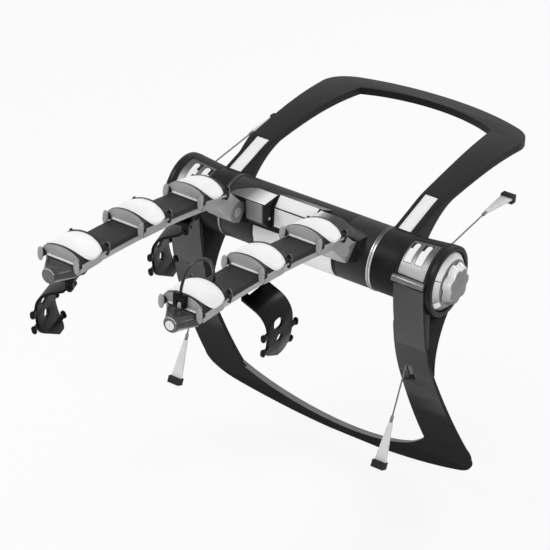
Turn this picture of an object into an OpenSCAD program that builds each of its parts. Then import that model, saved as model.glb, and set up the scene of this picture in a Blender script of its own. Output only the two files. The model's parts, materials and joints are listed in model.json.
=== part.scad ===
// Trunk mounted rack for three bikes: two hoop frames clamped round one cross hub, two fold-down
// carrying arms with three tube cradles each, sway cages, tensioner knobs and four hook cables.
// X runs along the hub, the arms point to -Y, +Z is up and the origin is the middle of the hub axis.

/* [Hub] */
// Radius of the black hub housing
hub_r = 60; // [56:1:64]
// Radius of the steel core tube that everything turns on
core_r = 38; // [34:1:40]
// Wall of the core tube
core_wall = 6; // [4:0.5:8]
// Half the length of the middle housing between the arms
cover_half = 92; // [90:1:93]
// Length of the plain sleeve beside the housing
sleeve_len = 67; // [60:1:80]
// Width of the bright trim ring
ring_w = 8; // [4:0.5:10]
// Width of the upper frame's collar
collar_w = 50; // [46:1:52]
// Width of the lower frame's drum
drum_w = 68; // [64:0.5:72]
// How much closer to the middle the left end of the hub is than the right end
left_inset = 12; // [0:1:14]
// How much the drum widens towards its outer end
drum_flare = 7; // [4:0.5:9]
// Running clearance of a turning piece on its shaft, on the radius
run_fit = 0.05; // [0.03:0.01:0.09]
// Gap between neighbouring pieces
seam = 0.3; // [0.2:0.05:0.5]
// Gap between a round piece and the seat it is fixed in
seat_gap = 0.1; // [0.05:0.01:0.15]

/* [Frames] */
// Thickness of both hoop frames
frame_t = 15; // [13:1:18]
// Half width of the upper frame across its corners
upper_half = 222; // [218:1:230]
// Half width of the upper frame across its legs at the hub
upper_root_half = 213; // [206:1:216]
// Distance from the hub axis to the far edge of the top bar
upper_reach = 494; // [480:1:510]
// Width of the top bar at its middle
top_bar_w = 50; // [44:1:60]
// Half width of the lower frame across its corners
lower_half = 308; // [300:1:316]
// Distance from the hub axis down to the edge of the bottom bar
lower_reach = 581; // [570:1:595]
// Height of the bottom bar at its middle
bottom_bar_w = 39; // [34:1:50]
// Thickness of the rubber pads behind the frames
pad_t = 8; // [5:1:12]
// Length of each rubber pad
pad_len = 90; // [60:5:110]

/* [Arms] */
// Spacing of the two arms, centre to centre
arm_spacing = 250; // [246:1:254]
// Width of an arm's dark top
arm_w = 62; // [56:1:66]
// Depth of the dark top cover
arm_top_t = 11; // [8:1:13]
// Depth of the bright channel under it
channel_t = 11; // [9:1:14]
// Distance between neighbouring cradles along the arm
cradle_pitch = 175; // [160:1:180]
// Length of one cradle along the arm
cradle_len = 68; // [64:1:74]
// Width of one cradle across the arm
cradle_w = 92; // [86:1:96]
// Height of a cradle wall at its middle
cradle_h = 26; // [22:1:30]
// Radius of the tube trough
trough_r = 30; // [26:1:31]
// Thickness of the soft liner in the trough
liner_t = 4; // [2:0.5:6]
// Spacing of the two strap studs on a cradle wall
stud_spacing = 76; // [70:1:80]
// Radius of the pivot pin at an arm's root
arm_pin_r = 7; // [5:0.5:9]
// Radius of an arm's rounded root
arm_root_r = 20; // [17:1:22]

/* [Cages] */
// Width of a sway cage along the arm
cage_w = 72; // [64:1:76]
// Thickness of a sway cage
cage_t = 5; // [4:0.5:6]
// Radius of a cage hinge pin
cage_pin_r = 3; // [2:0.5:3.5]

/* [Knobs] */
// Radius of a knob's round base
knob_base_r = 55; // [50:1:58]
// Thickness of a knob's round base
knob_base_t = 11; // [9:1:13]
// Radius of a knob's base at its outer face, inside its sloping rim
knob_face_r = 45; // [43:1:49]
// Radius of the lobed grip at the base
knob_grip_r = 41; // [38:1:42]
// Radius of the lobed grip at its outer end
knob_end_r = 31; // [28:1:36]
// Length of the lobed grip
knob_grip_t = 15; // [10:1:18]
// Radius of the knob's shaft
knob_shaft_r = 9; // [7:0.5:11]

/* [Hook cables] */
// Radius of a steel cable
cable_r = 1.6; // [1.2:0.1:1.8]
// Distance of the upper cables from the middle of the rack
upper_cable_x = 260; // [250:1:266]
// Distance of the lower cables from the middle of the rack
lower_cable_x = 233; // [231:0.5:240]
// Width of a hook at its wide end
hook_w = 24; // [20:1:28]
// Length of a hook's tapered body
hook_len = 86; // [70:1:94]
// Thickness of a hook
hook_t = 4; // [3:0.5:5]

/* [Hidden] */
$fn = 64;

black = [0.10, 0.10, 0.10];
dark = [0.22, 0.22, 0.21];
grey = [0.55, 0.55, 0.54];
silver = [0.74, 0.74, 0.72];
pale = [0.93, 0.93, 0.92];

// Stations along the hub, from the middle outwards
sleeve_x0 = cover_half + seam;
sleeve_x1 = sleeve_x0 + sleeve_len;
ring_x1 = sleeve_x1 + ring_w;
collar_x0 = ring_x1 + seam;
collar_x1 = collar_x0 + collar_w;
drum_x0 = collar_x1 + seam;
drum_x1 = drum_x0 + drum_w;
cap_x0 = drum_x1 + seam;
cap_t = 6;
cap_x1 = cap_x0 + cap_t;
drum_r = hub_r + drum_flare;
shaft_x1 = cap_x1 + seam + knob_base_t + knob_grip_t - 4;

// Side profile of the upper frame: the start of its top face, then runs and bends to the top bar
upper_start = [20, 56.5];
upper_rise = 14.6;
upper_steps = [[80, 150, 10.7], [0, 1800, 3.9], [0, 900, 17]];
upper_root_r = 150;
upper_root_centre = [170, -81];

// Side profile of the lower frame: straight down, then curving back to the bottom bar
lower_start = [-51, -30];
lower_bend = [30, 418, 21];
lower_sweep = [0, 1850, 10];
// The last straight run goes down to the foot of the bottom bar
lower_run_short = 2.503;
lower_run_angle = lower_bend[2] + lower_sweep[2];
lower_bend_drop = lower_bend[0] + lower_bend[1] * sin(lower_bend[2])
    + lower_sweep[1] * (sin(lower_run_angle) - sin(lower_bend[2]));
lower_run = (lower_reach + lower_start[1] - lower_bend_drop - lower_run_short) / cos(lower_run_angle);
lower_steps = [lower_bend, lower_sweep, [lower_run, 0, 0]];
lower_root_r = 157;
lower_root_centre = [145, -190];
lower_skin = 6;
lower_rib_inset = 8;

// Plan of the upper frame
top_bar_r = 388;
top_bar_inner_r = 268;
upper_corner_r = 78;
leg_inner_r = 3300;
leg_inner_x = 166.7;
leg_inner_y = 50;
upper_root_y = 130;
// The roots of both frames end this far from the hub axis, clear of the drums
root_split = 68;
root_seam = 0.02;
// Outer edge of the left leg at its root, where the drum is further in
left_root_taper = [[collar_x1 - left_inset - 0.1, root_split], [upper_root_half, root_split + 42]];
pocket = [[172, 200], [4, 102]];
pocket_depth = 6;

// Plan of the lower frame
bottom_bar_r = 650;
bottom_bar_inner_r = 265;
lower_corner_r = 75;
lower_leg_x = 214;
lower_leg_w = 68;

// Arms: a shallow arc seen from the side, and the pivot in front of the hub
arm_arc_r = 2148;
arm_arc_centre = [-713.2, -1952.1];
first_cradle_angle = 5.05;
tip_angle = first_cradle_angle - (cradle_len / 2 - 1) / arm_arc_r * 180 / PI;
root_angle = 16;
pitch_angle = cradle_pitch / arm_arc_r * 180 / PI;
arm_pivot = [-92, 54];
arm_x = arm_spacing / 2;
// Ears of the arm pivot on each side of the root, and the root's width between them
ear_x = [97, 138];
ear_t = 6.5;
root_x = [ear_x[0] + ear_t + 0.4, ear_x[1] - ear_t - 0.4];
link_x = [97, 149];
arm_bottom_r = arm_arc_r - arm_top_t - channel_t;

// Cage: runs and bends of its outer face from the pin to its lower edge
cage_pin_z = -46;
cage_slope = -23.4;
cage_steps = [[44, 45, 66.6], [5, 150, 22], [17, 0, 0]];

// Cables: where each leaves the rack, seen from the side, and its direction
upper_exit = [57, 29];
upper_dir = 2.7;
upper_free = 126;
upper_tail = 20;
upper_hook_turn = -9;
lower_exit = [-29, -186];
lower_dir = -114.9;
lower_free = 107;
lower_tail = 18;
lower_hook_turn = 0;
bore_r = cable_r + 0.4;

// Route of the lock cable from its clip over to the arm's top behind the cradle
lock_cable_r = 2.6;
lock_route = [
    [arm_x - 3, -561.1, 196], [arm_x - 3, -560, 208], [arm_x - 3, -559, 220], [arm_x - 1, -555, 240],
    [arm_x + 3, -547, 259], [arm_x + 9, -536, 270], [arm_x + 16, -523, 272], [arm_x + 19, -510, 263],
    [arm_x + 17, -498, 243], [arm_x + 12, -488, 219], [arm_x + 8, -483, 203], [arm_x + 6, -481, 191]
];

// Shared shapes

module along_x(x0, x1) {
    translate([x0, 0, 0]) rotate([90, 0, 90]) linear_extrude(x1 - x0) children();
}

module tube_x(x0, x1, r, bore) {
    along_x(x0, x1) difference() {
        circle(r);
        circle(bore);
    }
}

module both_sides() {
    children();
    mirror([1, 0, 0]) children();
}

// As both_sides, for what belongs to the hub's ends: the left end sits a little further in
module both_ends() {
    children();
    mirror([1, 0, 0]) translate([-left_inset, 0, 0]) children();
}

// A circle drawn finely enough for its size
module disc(r) {
    circle(r, $fn = r > 200 ? 1080 : r > 90 ? 240 : 96);
}

module sector(r_out, r_in, a0, a1) {
    far = 1.5 * r_out;
    intersection() {
        difference() {
            disc(r_out);
            disc(r_in);
        }
        polygon([[0, 0], far * [cos(a0), sin(a0)], far * [cos((a0 + a1) / 2), sin((a0 + a1) / 2)],
            far * [cos(a1), sin(a1)]]);
    }
}

// A strip of even thickness: each step is a straight run, then a bend of a radius and an angle.
// It starts at the origin along +X, its thickness lies below the path and it bends downwards.
function heading(h) = [sin(h), -cos(h)];

function band_points(steps, depth, p = [0, 0], h = 0, i = 0) =
    i == len(steps) ? [] :
    let (run = steps[i][0], r = steps[i][1], a = steps[i][2], q = p + run * [cos(h), sin(h)],
        c = q + r * heading(h), n = a == 0 ? 0 : ceil(a / band_step(r)))
    concat(run > 0 ? [q + depth * heading(h)] : [],
        [for (k = [1:1:n]) c - (r - depth) * heading(h - a * k / n)],
        band_points(steps, depth, c - r * heading(h - a), h - a, i + 1));

// Angle of one facet of a bend, fine enough to stay within a tenth of a millimetre of the curve
function band_step(r) = 2 * acos(1 - 0.08 / r);

function reversed(v) = [for (i = [len(v) - 1:-1:0]) v[i]];

module bent_band(steps, t) {
    polygon(concat([[0, 0]], band_points(steps, 0), reversed(band_points(steps, t)), [[0, -t]]));
}

module slot_shape(w, h) {
    hull_r = w / 2;
    translate([0, (h - w) / 2]) circle(hull_r);
    translate([0, -(h - w) / 2]) circle(hull_r);
    square([w, h - w], center = true);
}

// Hub

module hub_core() {
    color(grey) tube_x(-cap_x0 + seam + left_inset, cap_x0 - seam, core_r, core_r - core_wall);
}

hood_half = 48;
block_x1 = 89;
block_front = -78;

module hood_profile() {
    polygon([[4, 40], [0, 62], [-33, 80.5], [-52, 63], [-55, 20], [-45, 0], [0, 0]]);
}

module block_profile() {
    polygon([[-20, 40], [-36, 80], [block_front, 80], [block_front, 37], [-62, 22], [-20, 14]]);
}

module centre_cover() {
    color(black) difference() {
        union() {
            along_x(-cover_half, cover_half) circle(hub_r);
            along_x(-hood_half, hood_half) hood_profile();
            both_sides() along_x(hood_half - 1, block_x1) block_profile();
        }
        along_x(-cover_half - 10, cover_half + 10) circle(core_r + seat_gap);
    }
}

// Ears that carry the arm pivot pins, seated on the sleeves
module ear_profile() {
    difference() {
        union() {
            translate(arm_pivot) circle(arm_root_r);
            polygon([arm_pivot + arm_root_r * [0.7, 0.714], [-48, 54], [-30, 40], [-44, 10],
                [-58, 14], arm_pivot + arm_root_r * [-0.35, -0.937]]);
        }
        circle(hub_r + seat_gap);
        translate(arm_pivot) circle(arm_pin_r + seat_gap);
    }
}

module pivot_ears() {
    color(grey) both_sides() {
        along_x(ear_x[0], ear_x[0] + ear_t) ear_profile();
        along_x(ear_x[1] - ear_t, ear_x[1]) ear_profile();
    }
}

// The curved label over the housing's front, its tab under the hood, and two plates on the hood
module label_plates() {
    color(pale) {
        along_x(-cover_half + 2, cover_half - 2) sector(hub_r + 1.4, hub_r + 0.1, 166, 222);
        along_x(-42, 42) {
            translate([-33.5, 80.2]) rotate(-137.3) translate([0, -1.3]) square([24, 1.2]);
            translate([-52.2, 61.8]) rotate(-94) translate([0, -1.3]) square([37.3, 1.2]);
        }
    }
}

module hub_sleeves() {
    color(black) both_sides() tube_x(sleeve_x0, sleeve_x1, hub_r, core_r + seat_gap);
}

module trim_rings() {
    color(silver) both_sides() tube_x(sleeve_x1, ring_x1, hub_r + 0.8, core_r + seat_gap);
}

module end_caps() {
    color(black) both_ends() {
        along_x(cap_x0, cap_x1) circle(drum_r);
        along_x(cap_x0 - 30, cap_x0) circle(core_r - core_wall - seat_gap);
        along_x(cap_x1 - 1, shaft_x1) circle(knob_shaft_r);
        tube_x(cap_x1 - 1, cap_x1 + 5, drum_r, knob_base_r + 2);
    }
}

module arm_pins() {
    color(silver) both_sides() along_x(ear_x[0] + 1, ear_x[1] - 1)
        translate(arm_pivot) circle(arm_pin_r);
}

// Bright cover plates on the blocks, each with one screw beside it
module pivot_faceplates() {
    color(grey) both_sides() along_x(hood_half + 2, block_x1 - 1)
        translate([block_front - 1.6, 39]) square([1.5, 39]);
    color(silver) both_sides() translate([hood_half - 1.1, -65, 45]) rotate([0, -90, 0])
        cylinder(r = 3, h = 2);
}

// Upper frame

function upper_corner_y(half, r, reach, bar_r) =
    reach - bar_r + sqrt(pow(bar_r - r, 2) - pow(half - r, 2));

module upper_outline() {
    bar_cy = upper_reach - top_bar_r;
    corner = [upper_half - upper_corner_r,
        upper_corner_y(upper_half, upper_corner_r, upper_reach, top_bar_r)];
    ray = [corner[0], corner[1] - bar_cy] * 3;
    intersection() {
        translate([0, bar_cy]) disc(top_bar_r);
        polygon([[0, bar_cy], [ray[0], ray[1] + bar_cy], [-ray[0], ray[1] + bar_cy]]);
    }
    translate(corner) disc(upper_corner_r);
    translate([-corner[0], corner[1]]) disc(upper_corner_r);
    both_sides() polygon([[0, 0], [upper_root_half, 0], [upper_root_half, upper_root_y],
        [upper_half, corner[1]], [0, corner[1]]]);
}

module upper_opening() {
    intersection() {
        translate([leg_inner_x - leg_inner_r, leg_inner_y]) disc(leg_inner_r);
        translate([leg_inner_r - leg_inner_x, leg_inner_y]) disc(leg_inner_r);
        translate([0, upper_reach - top_bar_w - top_bar_inner_r]) disc(top_bar_inner_r);
    }
    translate([-collar_x0 + 10, -10]) square([2 * collar_x0 - 20, 60]);
}

// Region of the side view that the upper frame fills
module upper_side() {
    translate(upper_start) rotate(upper_rise) bent_band(upper_steps, frame_t);
    difference() {
        polygon([[0, 0], [0, 51.3], upper_start, [100, 77.4], [140, 80], [170, 80], [170, 69],
            [160, 40], [45, -12]]);
        translate(upper_root_centre) disc(upper_root_r);
    }
}

module upper_shape() {
    difference() {
        union() {
            intersection() {
                linear_extrude(240, center = true) difference() {
                    upper_outline();
                    upper_opening();
                    mirror([1, 0]) polygon([[left_root_taper[0][0], -10], left_root_taper[0],
                        left_root_taper[1], [260, root_split + 42], [260, -10]]);
                }
                along_x(-upper_half - 5, upper_half + 5) upper_side();
            }
            both_sides() along_x(collar_x0, collar_x1 - left_inset) circle(hub_r);
            along_x(collar_x1 - left_inset, collar_x1) circle(hub_r);
        }
        along_x(-400, 400) circle(core_r + run_fit);
        along_x(-collar_x0, collar_x0) circle(hub_r + 0.8 + seam);
        both_sides() leg_seat(0, -pocket_depth, 12);
    }
}

module upper_frame() {
    color(black) difference() {
        upper_shape();
        translate([-300, -200, -200]) cube([600, 200 + root_split, 400]);
    }
}

module upper_collars() {
    color(black) intersection() {
        upper_shape();
        translate([-300, -200, -200]) cube([600, 200 + root_split - root_seam, 400]);
    }
}

// Seat of the pale insert on a leg, sloping with the leg's top face
module leg_seat(gap, low, high) {
    translate([0, upper_start[0], upper_start[1]]) rotate([upper_rise, 0, 0])
        translate([pocket[0][0] + gap, pocket[1][0] + gap, low])
        cube([pocket[0][1] - pocket[0][0] - 2 * gap, pocket[1][1] - pocket[1][0] - 2 * gap, high - low]);
}

module upper_leg_inserts() {
    color(pale) both_sides() leg_seat(0.4, -pocket_depth, -pocket_depth + 3.4);
}

module upper_pads() {
    color(dark) both_sides() intersection() {
        translate([upper_half - 58, upper_corner_y(upper_half, upper_corner_r, upper_reach,
            top_bar_r) - pad_len + 25, -60]) cube([44, pad_len, 140]);
        along_x(0, upper_half) translate(upper_start) rotate(upper_rise)
            translate([0, -frame_t - 0.1]) bent_band([[80, 150 - frame_t, 10.7],
                [0, 1800 - frame_t, 3.9], [0, 900 - frame_t, 17]], pad_t);
    }
}

// Lower frame

module lower_outline(inset = 0) {
    cx = lower_half - lower_corner_r;
    bar_cz = bottom_bar_r - lower_reach;
    cz = bar_cz - sqrt(pow(bottom_bar_r - lower_corner_r, 2) - pow(cx, 2));
    ray = [cx, cz - bar_cz] * 3;
    intersection() {
        translate([0, bar_cz]) disc(bottom_bar_r - inset);
        polygon([[0, bar_cz], [ray[0], ray[1] + bar_cz], [-ray[0], ray[1] + bar_cz]]);
    }
    for (s = [-1, 1]) {
        translate([s * cx, cz]) disc(lower_corner_r - inset);
        polygon([[0, 20], [s * (lower_leg_x + lower_leg_w - inset), 20],
            [s * (lower_leg_x + lower_leg_w - inset), -150],
            [s * (lower_half - 1 - inset), cz], [0, cz]]);
    }
}

module lower_opening(inset = 0) {
    r = bottom_bar_inner_r + inset;
    bar_cz = bottom_bar_inner_r - lower_reach + bottom_bar_w;
    intersection() {
        union() {
            translate([0, bar_cz]) disc(r);
            translate([-r, bar_cz]) square([2 * r, 400]);
        }
        translate([-lower_leg_x - inset, -700]) square([2 * (lower_leg_x + inset), 800]);
    }
}

module lower_band(depth, t) {
    translate([lower_start[0] + depth, lower_start[1]]) mirror([1, 0]) rotate(-90)
        bent_band([for (s = lower_steps) [s[0], max(s[1] - depth, 0), s[2]]], t);
}

module lower_layer(depth, t, inset) {
    intersection() {
        rotate([90, 0, 0]) linear_extrude(600, center = true) difference() {
            lower_outline(inset);
            lower_opening(inset);
        }
        along_x(-lower_half - 5, lower_half + 5) lower_band(depth, t);
    }
}

// The legs' deep roots, from the drums down, scooped out behind
module lower_root_side() {
    difference() {
        union() {
            translate(lower_start) mirror([1, 0]) rotate(-90) bent_band([lower_bend], 100);
            polygon([[-64, 10], [-51, -38], [0, -38], [0, 10]]);
        }
        translate(lower_root_centre) disc(lower_root_r);
    }
}

module drum(x0, x1, r0, r1) {
    translate([x0, 0, 0]) rotate([0, 90, 0]) cylinder(r1 = r0, r2 = r1, h = x1 - x0);
}

rod_r = 7;
rod_at = [-hub_r - 5, 18];

module lower_shape() {
    difference() {
        union() {
            lower_layer(0, lower_skin, 0);
            lower_layer(lower_skin - 0.5, frame_t - lower_skin + 0.5, lower_rib_inset);
            both_ends() along_x(drum_x0, drum_x1 - 3) lower_root_side();
            both_ends() drum(drum_x0, drum_x1, hub_r, drum_r);
        }
        along_x(-400, 400) circle(core_r + run_fit);
        along_x(-drum_x0 + left_inset, drum_x0) circle(hub_r + seam);
        rotate([90, 0, 0]) linear_extrude(200, center = true) polygon([[200, 80], [drum_x0 + 0.1, 80],
            [drum_x0 + 0.1, -root_split - 2], [lower_leg_x - 0.5, -root_split - 24],
            [200, -root_split - 24]]);
        both_ends() along_x(drum_x1, 400) circle(drum_r + seam);
        both_ends() window_recess();
        both_ends() along_x(drum_x0 - 1, drum_x1 + 1) translate(rod_at) circle(rod_r + seat_gap);
        both_sides() upper_bore();
        both_sides() lower_bore();
        both_sides() guide_seat(0, -1, guide_depth + 1);
    }
}

module lower_frame() {
    color(black) difference() {
        lower_shape();
        translate([-400, -200, -root_split]) cube([800, 400, 400]);
    }
}

module lower_drums() {
    color(black) intersection() {
        lower_shape();
        translate([-400, -200, -root_split + root_seam]) cube([800, 400, 400]);
    }
}

// Shallow seat of a window plate on the drum, and the plate itself
plate_t = 2;
plate_a0 = 84;
plate_a1 = 158;

module drum_wedge(x0, x1, a0, a1) {
    along_x(x0, x1) polygon([[0, 0], 200 * [cos(a0), sin(a0)],
        200 * [cos((a0 + a1) / 2), sin((a0 + a1) / 2)], 200 * [cos(a1), sin(a1)]]);
}

module drum_skin(depth, t, x0, x1, a0, a1) {
    intersection() {
        difference() {
            drum(drum_x0, drum_x1, hub_r - depth, drum_r - depth);
            drum(drum_x0, drum_x1, hub_r - depth - t, drum_r - depth - t);
        }
        drum_wedge(x0, x1, a0, a1);
    }
}

module window_recess() {
    drum_skin(-1, 5, drum_x0 + 4, drum_x1 - 6, plate_a0, plate_a1);
}

windows = [[224.5, 240.5], [248.5, 264.5]];

module window_plates() {
    color(silver) both_ends() difference() {
        drum_skin(1.9, plate_t, drum_x0 + 4.2, drum_x1 - 6.2, plate_a0 + 0.3, plate_a1 - 0.3);
        for (w = windows) drum_wedge(w[0] + 1, w[1] + 1, 92, 136);
        along_x(drum_x0 - 1, drum_x1 + 1) translate(rod_at) circle(rod_r + 0.3);
    }
}

module window_inserts() {
    color(pale) both_ends() for (w = windows)
        drum_skin(2.4, 1.5, w[0] + 1.3, w[1] + 0.7, 106, 135.6);
}

module stop_rods() {
    color(silver) both_ends() along_x(drum_x0 + 0.5, drum_x1 - 1) translate(rod_at) circle(rod_r);
}

module lower_pads() {
    color(dark) both_sides() intersection() {
        translate([70, -200, -lower_reach - 10]) cube([pad_len, 500, 120]);
        along_x(0, lower_half) lower_band(frame_t + 0.1, pad_t);
        rotate([90, 0, 0]) linear_extrude(600, center = true) difference() {
            lower_outline(lower_rib_inset + 4);
            lower_opening(lower_rib_inset + 4);
        }
    }
}

// Shallow recess in the leg below the point where a lower cable comes out, and its liner
guide_w = 12;
guide_z = [-226, -187];
guide_depth = 3;

module guide_seat(gap, depth, t) {
    intersection() {
        translate([lower_cable_x + 1 + gap, -80, guide_z[0] + gap])
            cube([guide_w - 2 * gap, 100, guide_z[1] - guide_z[0] - 2 * gap]);
        along_x(0, lower_half) lower_band(depth, t);
    }
}

module cable_guides() {
    color(dark) both_sides() difference() {
        guide_seat(0.2, guide_depth - 1.4, 1.4 - seat_gap);
        lower_bore();
    }
}

// Arms

module arc_band(r_out, r_in, a0, a1) {
    translate(arm_arc_centre) sector(r_out, r_in, 90 - a1, 90 - a0);
}

function arm_point(r, a) = arm_arc_centre + r * [sin(a), cos(a)];

module at_arm(side, angle) {
    p = arm_point(arm_arc_r, angle);
    translate([side * arm_x, p[0], p[1]]) rotate([-angle, 0, 0]) children();
}

function cradle_angle(i) = first_cradle_angle + i * pitch_angle;

module arm_top(side) {
    color(dark) along_x(side * arm_x - arm_w / 2, side * arm_x + arm_w / 2)
        arc_band(arm_arc_r, arm_arc_r - arm_top_t, tip_angle, root_angle);
}

module arm_channel(side) {
    top_r = arm_arc_r - arm_top_t - 0.1;
    half = arm_w / 2 - 2;
    a = root_angle;
    color(silver) difference() {
        union() {
            along_x(side * arm_x - half, side * arm_x + half) arc_band(top_r, arm_bottom_r, tip_angle, a);
            span_x(side, root_x) {
                translate(arm_pivot) circle(arm_root_r);
                arm_link();
            }
            span_x(side, link_x) difference() {
                arm_link();
                translate(arm_pivot) circle(arm_root_r + 0.5);
            }
        }
        along_x(side * arm_x - half + 6, side * arm_x + half - 6)
            arc_band(arm_bottom_r + channel_t - 5, arm_bottom_r - 3, tip_angle + 0.6, a - 1.3);
        span_x(side, [90, 160]) translate(arm_pivot) circle(arm_pin_r + run_fit);
    }
}

// Extrudes between two distances from the middle of the rack, on one side of it
module span_x(side, x) {
    along_x(side > 0 ? x[0] : -x[1], side > 0 ? x[1] : -x[0]) children();
}

module arm_link() {
    a = root_angle;
    top_r = arm_arc_r - arm_top_t - 0.1;
    polygon([arm_pivot + arm_root_r * [0.72, 0.69], arm_point(arm_arc_r - 1, a + 0.1),
        arm_point(top_r - 3, a + 0.1), arm_point(top_r - 3, a - 0.9),
        arm_point(arm_bottom_r + 0.5, a - 0.9), arm_pivot + arm_root_r * [-0.72, -0.69]]);
}

// One saddle: two arched walls with a round trough between them and skirts down the arm's sides
module cradle_side() {
    difference() {
        translate([-cradle_len / 2, 0.1]) square([cradle_len, cradle_h]);
        translate([0, trough_r + liner_t]) circle(trough_r);
    }
}

module cradle_arch(half, top, drop) {
    arch_r = 75;
    intersection() {
        translate([0, top - arch_r]) circle(arch_r);
        translate([-half, -drop]) square([2 * half, top + drop]);
    }
}

module cradle(side, i) {
    skirt_x = arm_w / 2 + 0.3;
    color(grey) at_arm(side, cradle_angle(i)) {
        intersection() {
            along_x(-cradle_w / 2, cradle_w / 2) cradle_side();
            rotate([90, 0, 0]) linear_extrude(120, center = true) cradle_arch(cradle_w / 2, cradle_h, 1);
        }
        for (s = [-1, 1]) intersection() {
            translate([s * (skirt_x + 3), 0, -6.5]) cube([6, cradle_len - 12, 19], center = true);
            along_x(-60, 60) translate([0, -10]) circle(34);
        }
    }
}

module liner(side, i) {
    at_arm(side, cradle_angle(i)) intersection() {
        along_x(-cradle_w / 2 + 1, cradle_w / 2 - 1) intersection() {
            translate([0, trough_r + liner_t]) difference() {
                circle(trough_r - 0.1);
                circle(trough_r - liner_t);
            }
            translate([-40, 0]) square([80, cradle_h - 0.5]);
        }
        rotate([90, 0, 0]) linear_extrude(120, center = true)
            cradle_arch(cradle_w / 2 - 1, cradle_h - 0.6, 1);
    }
}

module liners(side) {
    color(pale) for (i = [0:2]) liner(side, i);
}

// Strap studs: a round neck out of the wall, then an upright oval head
stud_neck = 6;
stud_head_t = 3;

module stud() {
    rotate([90, 0, 0]) {
        translate([0, 0, 0.1]) cylinder(r = 4.5, h = stud_neck);
        translate([0, 0, stud_neck]) linear_extrude(stud_head_t) slot_shape(10, 22);
    }
}

module studs(side) {
    color(grey) for (i = [0:2], s = [-1, 1], f = [0, 1])
        at_arm(side, cradle_angle(i)) mirror([0, f, 0])
            translate([s * stud_spacing / 2, -cradle_len / 2, 3.5]) stud();
}

cap_len = 35;
cap_wide_r = 33;
cap_nose_r = 16;
cap_axis = -21.5;
lock_r = 8;
lock_len = 15;

module at_tip(side) {
    tip = arm_point(arm_arc_r, tip_angle);
    translate([side * arm_x, tip[0], tip[1]]) rotate([-tip_angle, 0, 0]) children();
}

module tip_cap(side) {
    color(silver) difference() {
        at_tip(side) intersection() {
            translate([0, -0.2, cap_axis]) rotate([90, 0, 0])
                cylinder(r1 = cap_wide_r, r2 = cap_nose_r, h = cap_len);
            translate([0, -cap_len / 2, -13.2]) cube([80, cap_len + 2, 26], center = true);
        }
        if (side > 0) lock_seat(seat_gap / 2, lock_len + 1);
    }
}

module lock_seat(gap, depth) {
    at_tip(1) translate([0, -cap_len - 2, -15]) rotate([-90, 0, 0]) cylinder(r = lock_r + gap, h = depth);
}

module lock_cylinder() {
    color(pale) difference() {
        lock_seat(0, lock_len);
        at_tip(1) translate([0, -cap_len - 2, -15]) cube([1.6, 3, 9], center = true);
    }
}

clip_w = 25;

module cable_clip() {
    color(black) at_arm(1, cradle_angle(0)) difference() {
        translate([-3 - clip_w / 2, -cradle_len / 2 - 7.1, 5]) cube([clip_w, 7, 24]);
        translate([-8, -cradle_len / 2 - 8, 4]) cube([10, 9, 13]);
        translate([lock_route[0][0] - arm_x, -cradle_len / 2 - 3.6, 4]) cylinder(r = lock_cable_r + 0.3, h = 30);
    }
}

// Sway cages

lug_y = [30.3, 38.3];
// Where each cage's pin is from its arm's middle, how far it is turned, and how far along from its cradle
cage_set = [[-6, 15, 0], [-18, 0, 0], [-6, 15, -20]];

// A cage hangs level under its cradle, turned a little where it was left so
module cage_frame(side, i) {
    p = arm_point(arm_arc_r, cradle_angle(i));
    set = cage_set[i];
    translate([side * (arm_x + set[0]), p[0] + set[2], p[1] + cage_pin_z]) mirror([side > 0 ? 0 : 1, 0, 0])
        rotate([0, 0, -set[1]]) children();
}

module cage_mount(side, i) {
    intersection() {
        union() {
            cage_frame(side, i) {
                translate([-9, -24, 12]) cube([34, lug_y[1] + 24, 50]);
                translate([-9, -lug_y[1], 12]) cube([34, 2 * lug_y[1], 8]);
                for (s = [-1, 1]) translate([0, s * (lug_y[0] + lug_y[1]) / 2, 0]) rotate([90, 0, 0])
                    linear_extrude(lug_y[1] - lug_y[0], center = true) {
                        circle(7);
                        translate([-7, 0]) square([14, 15]);
                    }
            }
        }
        translate([0, arm_arc_centre[0], arm_arc_centre[1]]) rotate([90, 0, 90])
            linear_extrude(800, center = true) disc(arm_bottom_r - 0.1);
    }
    cage_frame(side, i) for (s = [-1, 1]) translate([0, s * 30, 0]) rotate([90, 0, 0])
        cylinder(r = cage_pin_r, h = 22, center = true);
}

module left_cage_mounts() {
    color(black) for (i = [0, 2]) cage_mount(-1, i);
}

module right_cage_mounts() {
    color(black) cage_mount(1, 1);
}

module cage(side, i) {
    color(black) cage_frame(side, i) difference() {
        union() {
            intersection() {
                rotate([90, 0, 0]) linear_extrude(cage_w, center = true)
                    translate([0, -2]) rotate(cage_slope) bent_band(cage_steps, cage_t);
                cage_outline();
            }
            for (s = [-1, 1]) translate([0, s * 24, 0]) rotate([90, 0, 0])
                cylinder(r = 6.5, h = 12, center = true);
            cage_tabs();
        }
        rotate([90, 0, 0]) cylinder(r = cage_pin_r + run_fit, h = 100, center = true);
        translate([-10, -17.5, -20]) cube([25, 35, 40]);
        for (s = [-1, 1]) translate([-9, s * 36.2 - 6, -12]) cube([20, 12, 24]);
        translate([60, -6, -54]) rotate([90, 0, 90]) linear_extrude(60, center = true)
            rotate(90) slot_shape(18, 26);
        translate([60, -2, -85]) rotate([0, 90, 0]) cylinder(r = 8.5, h = 60, center = true);
    }
}

// Outline of the cage seen from the side of the arm: its lower edge slants, with round corners
module cage_outline() {
    corner = 15;
    near = [-cage_w / 2 + corner, -97];
    far = [cage_w / 2 - corner, -124];
    d = (far - near) / norm(far - near);
    n = corner * [d[1], -d[0]];
    translate([-20, 0, 0]) rotate([90, 0, 90]) linear_extrude(130) {
        translate(near) circle(corner);
        translate(far) circle(corner);
        polygon([[-cage_w / 2, 30], [-cage_w / 2, near[1]], near + n, far + n,
            [cage_w / 2, far[1]], [cage_w / 2, 30]]);
    }
}

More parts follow.
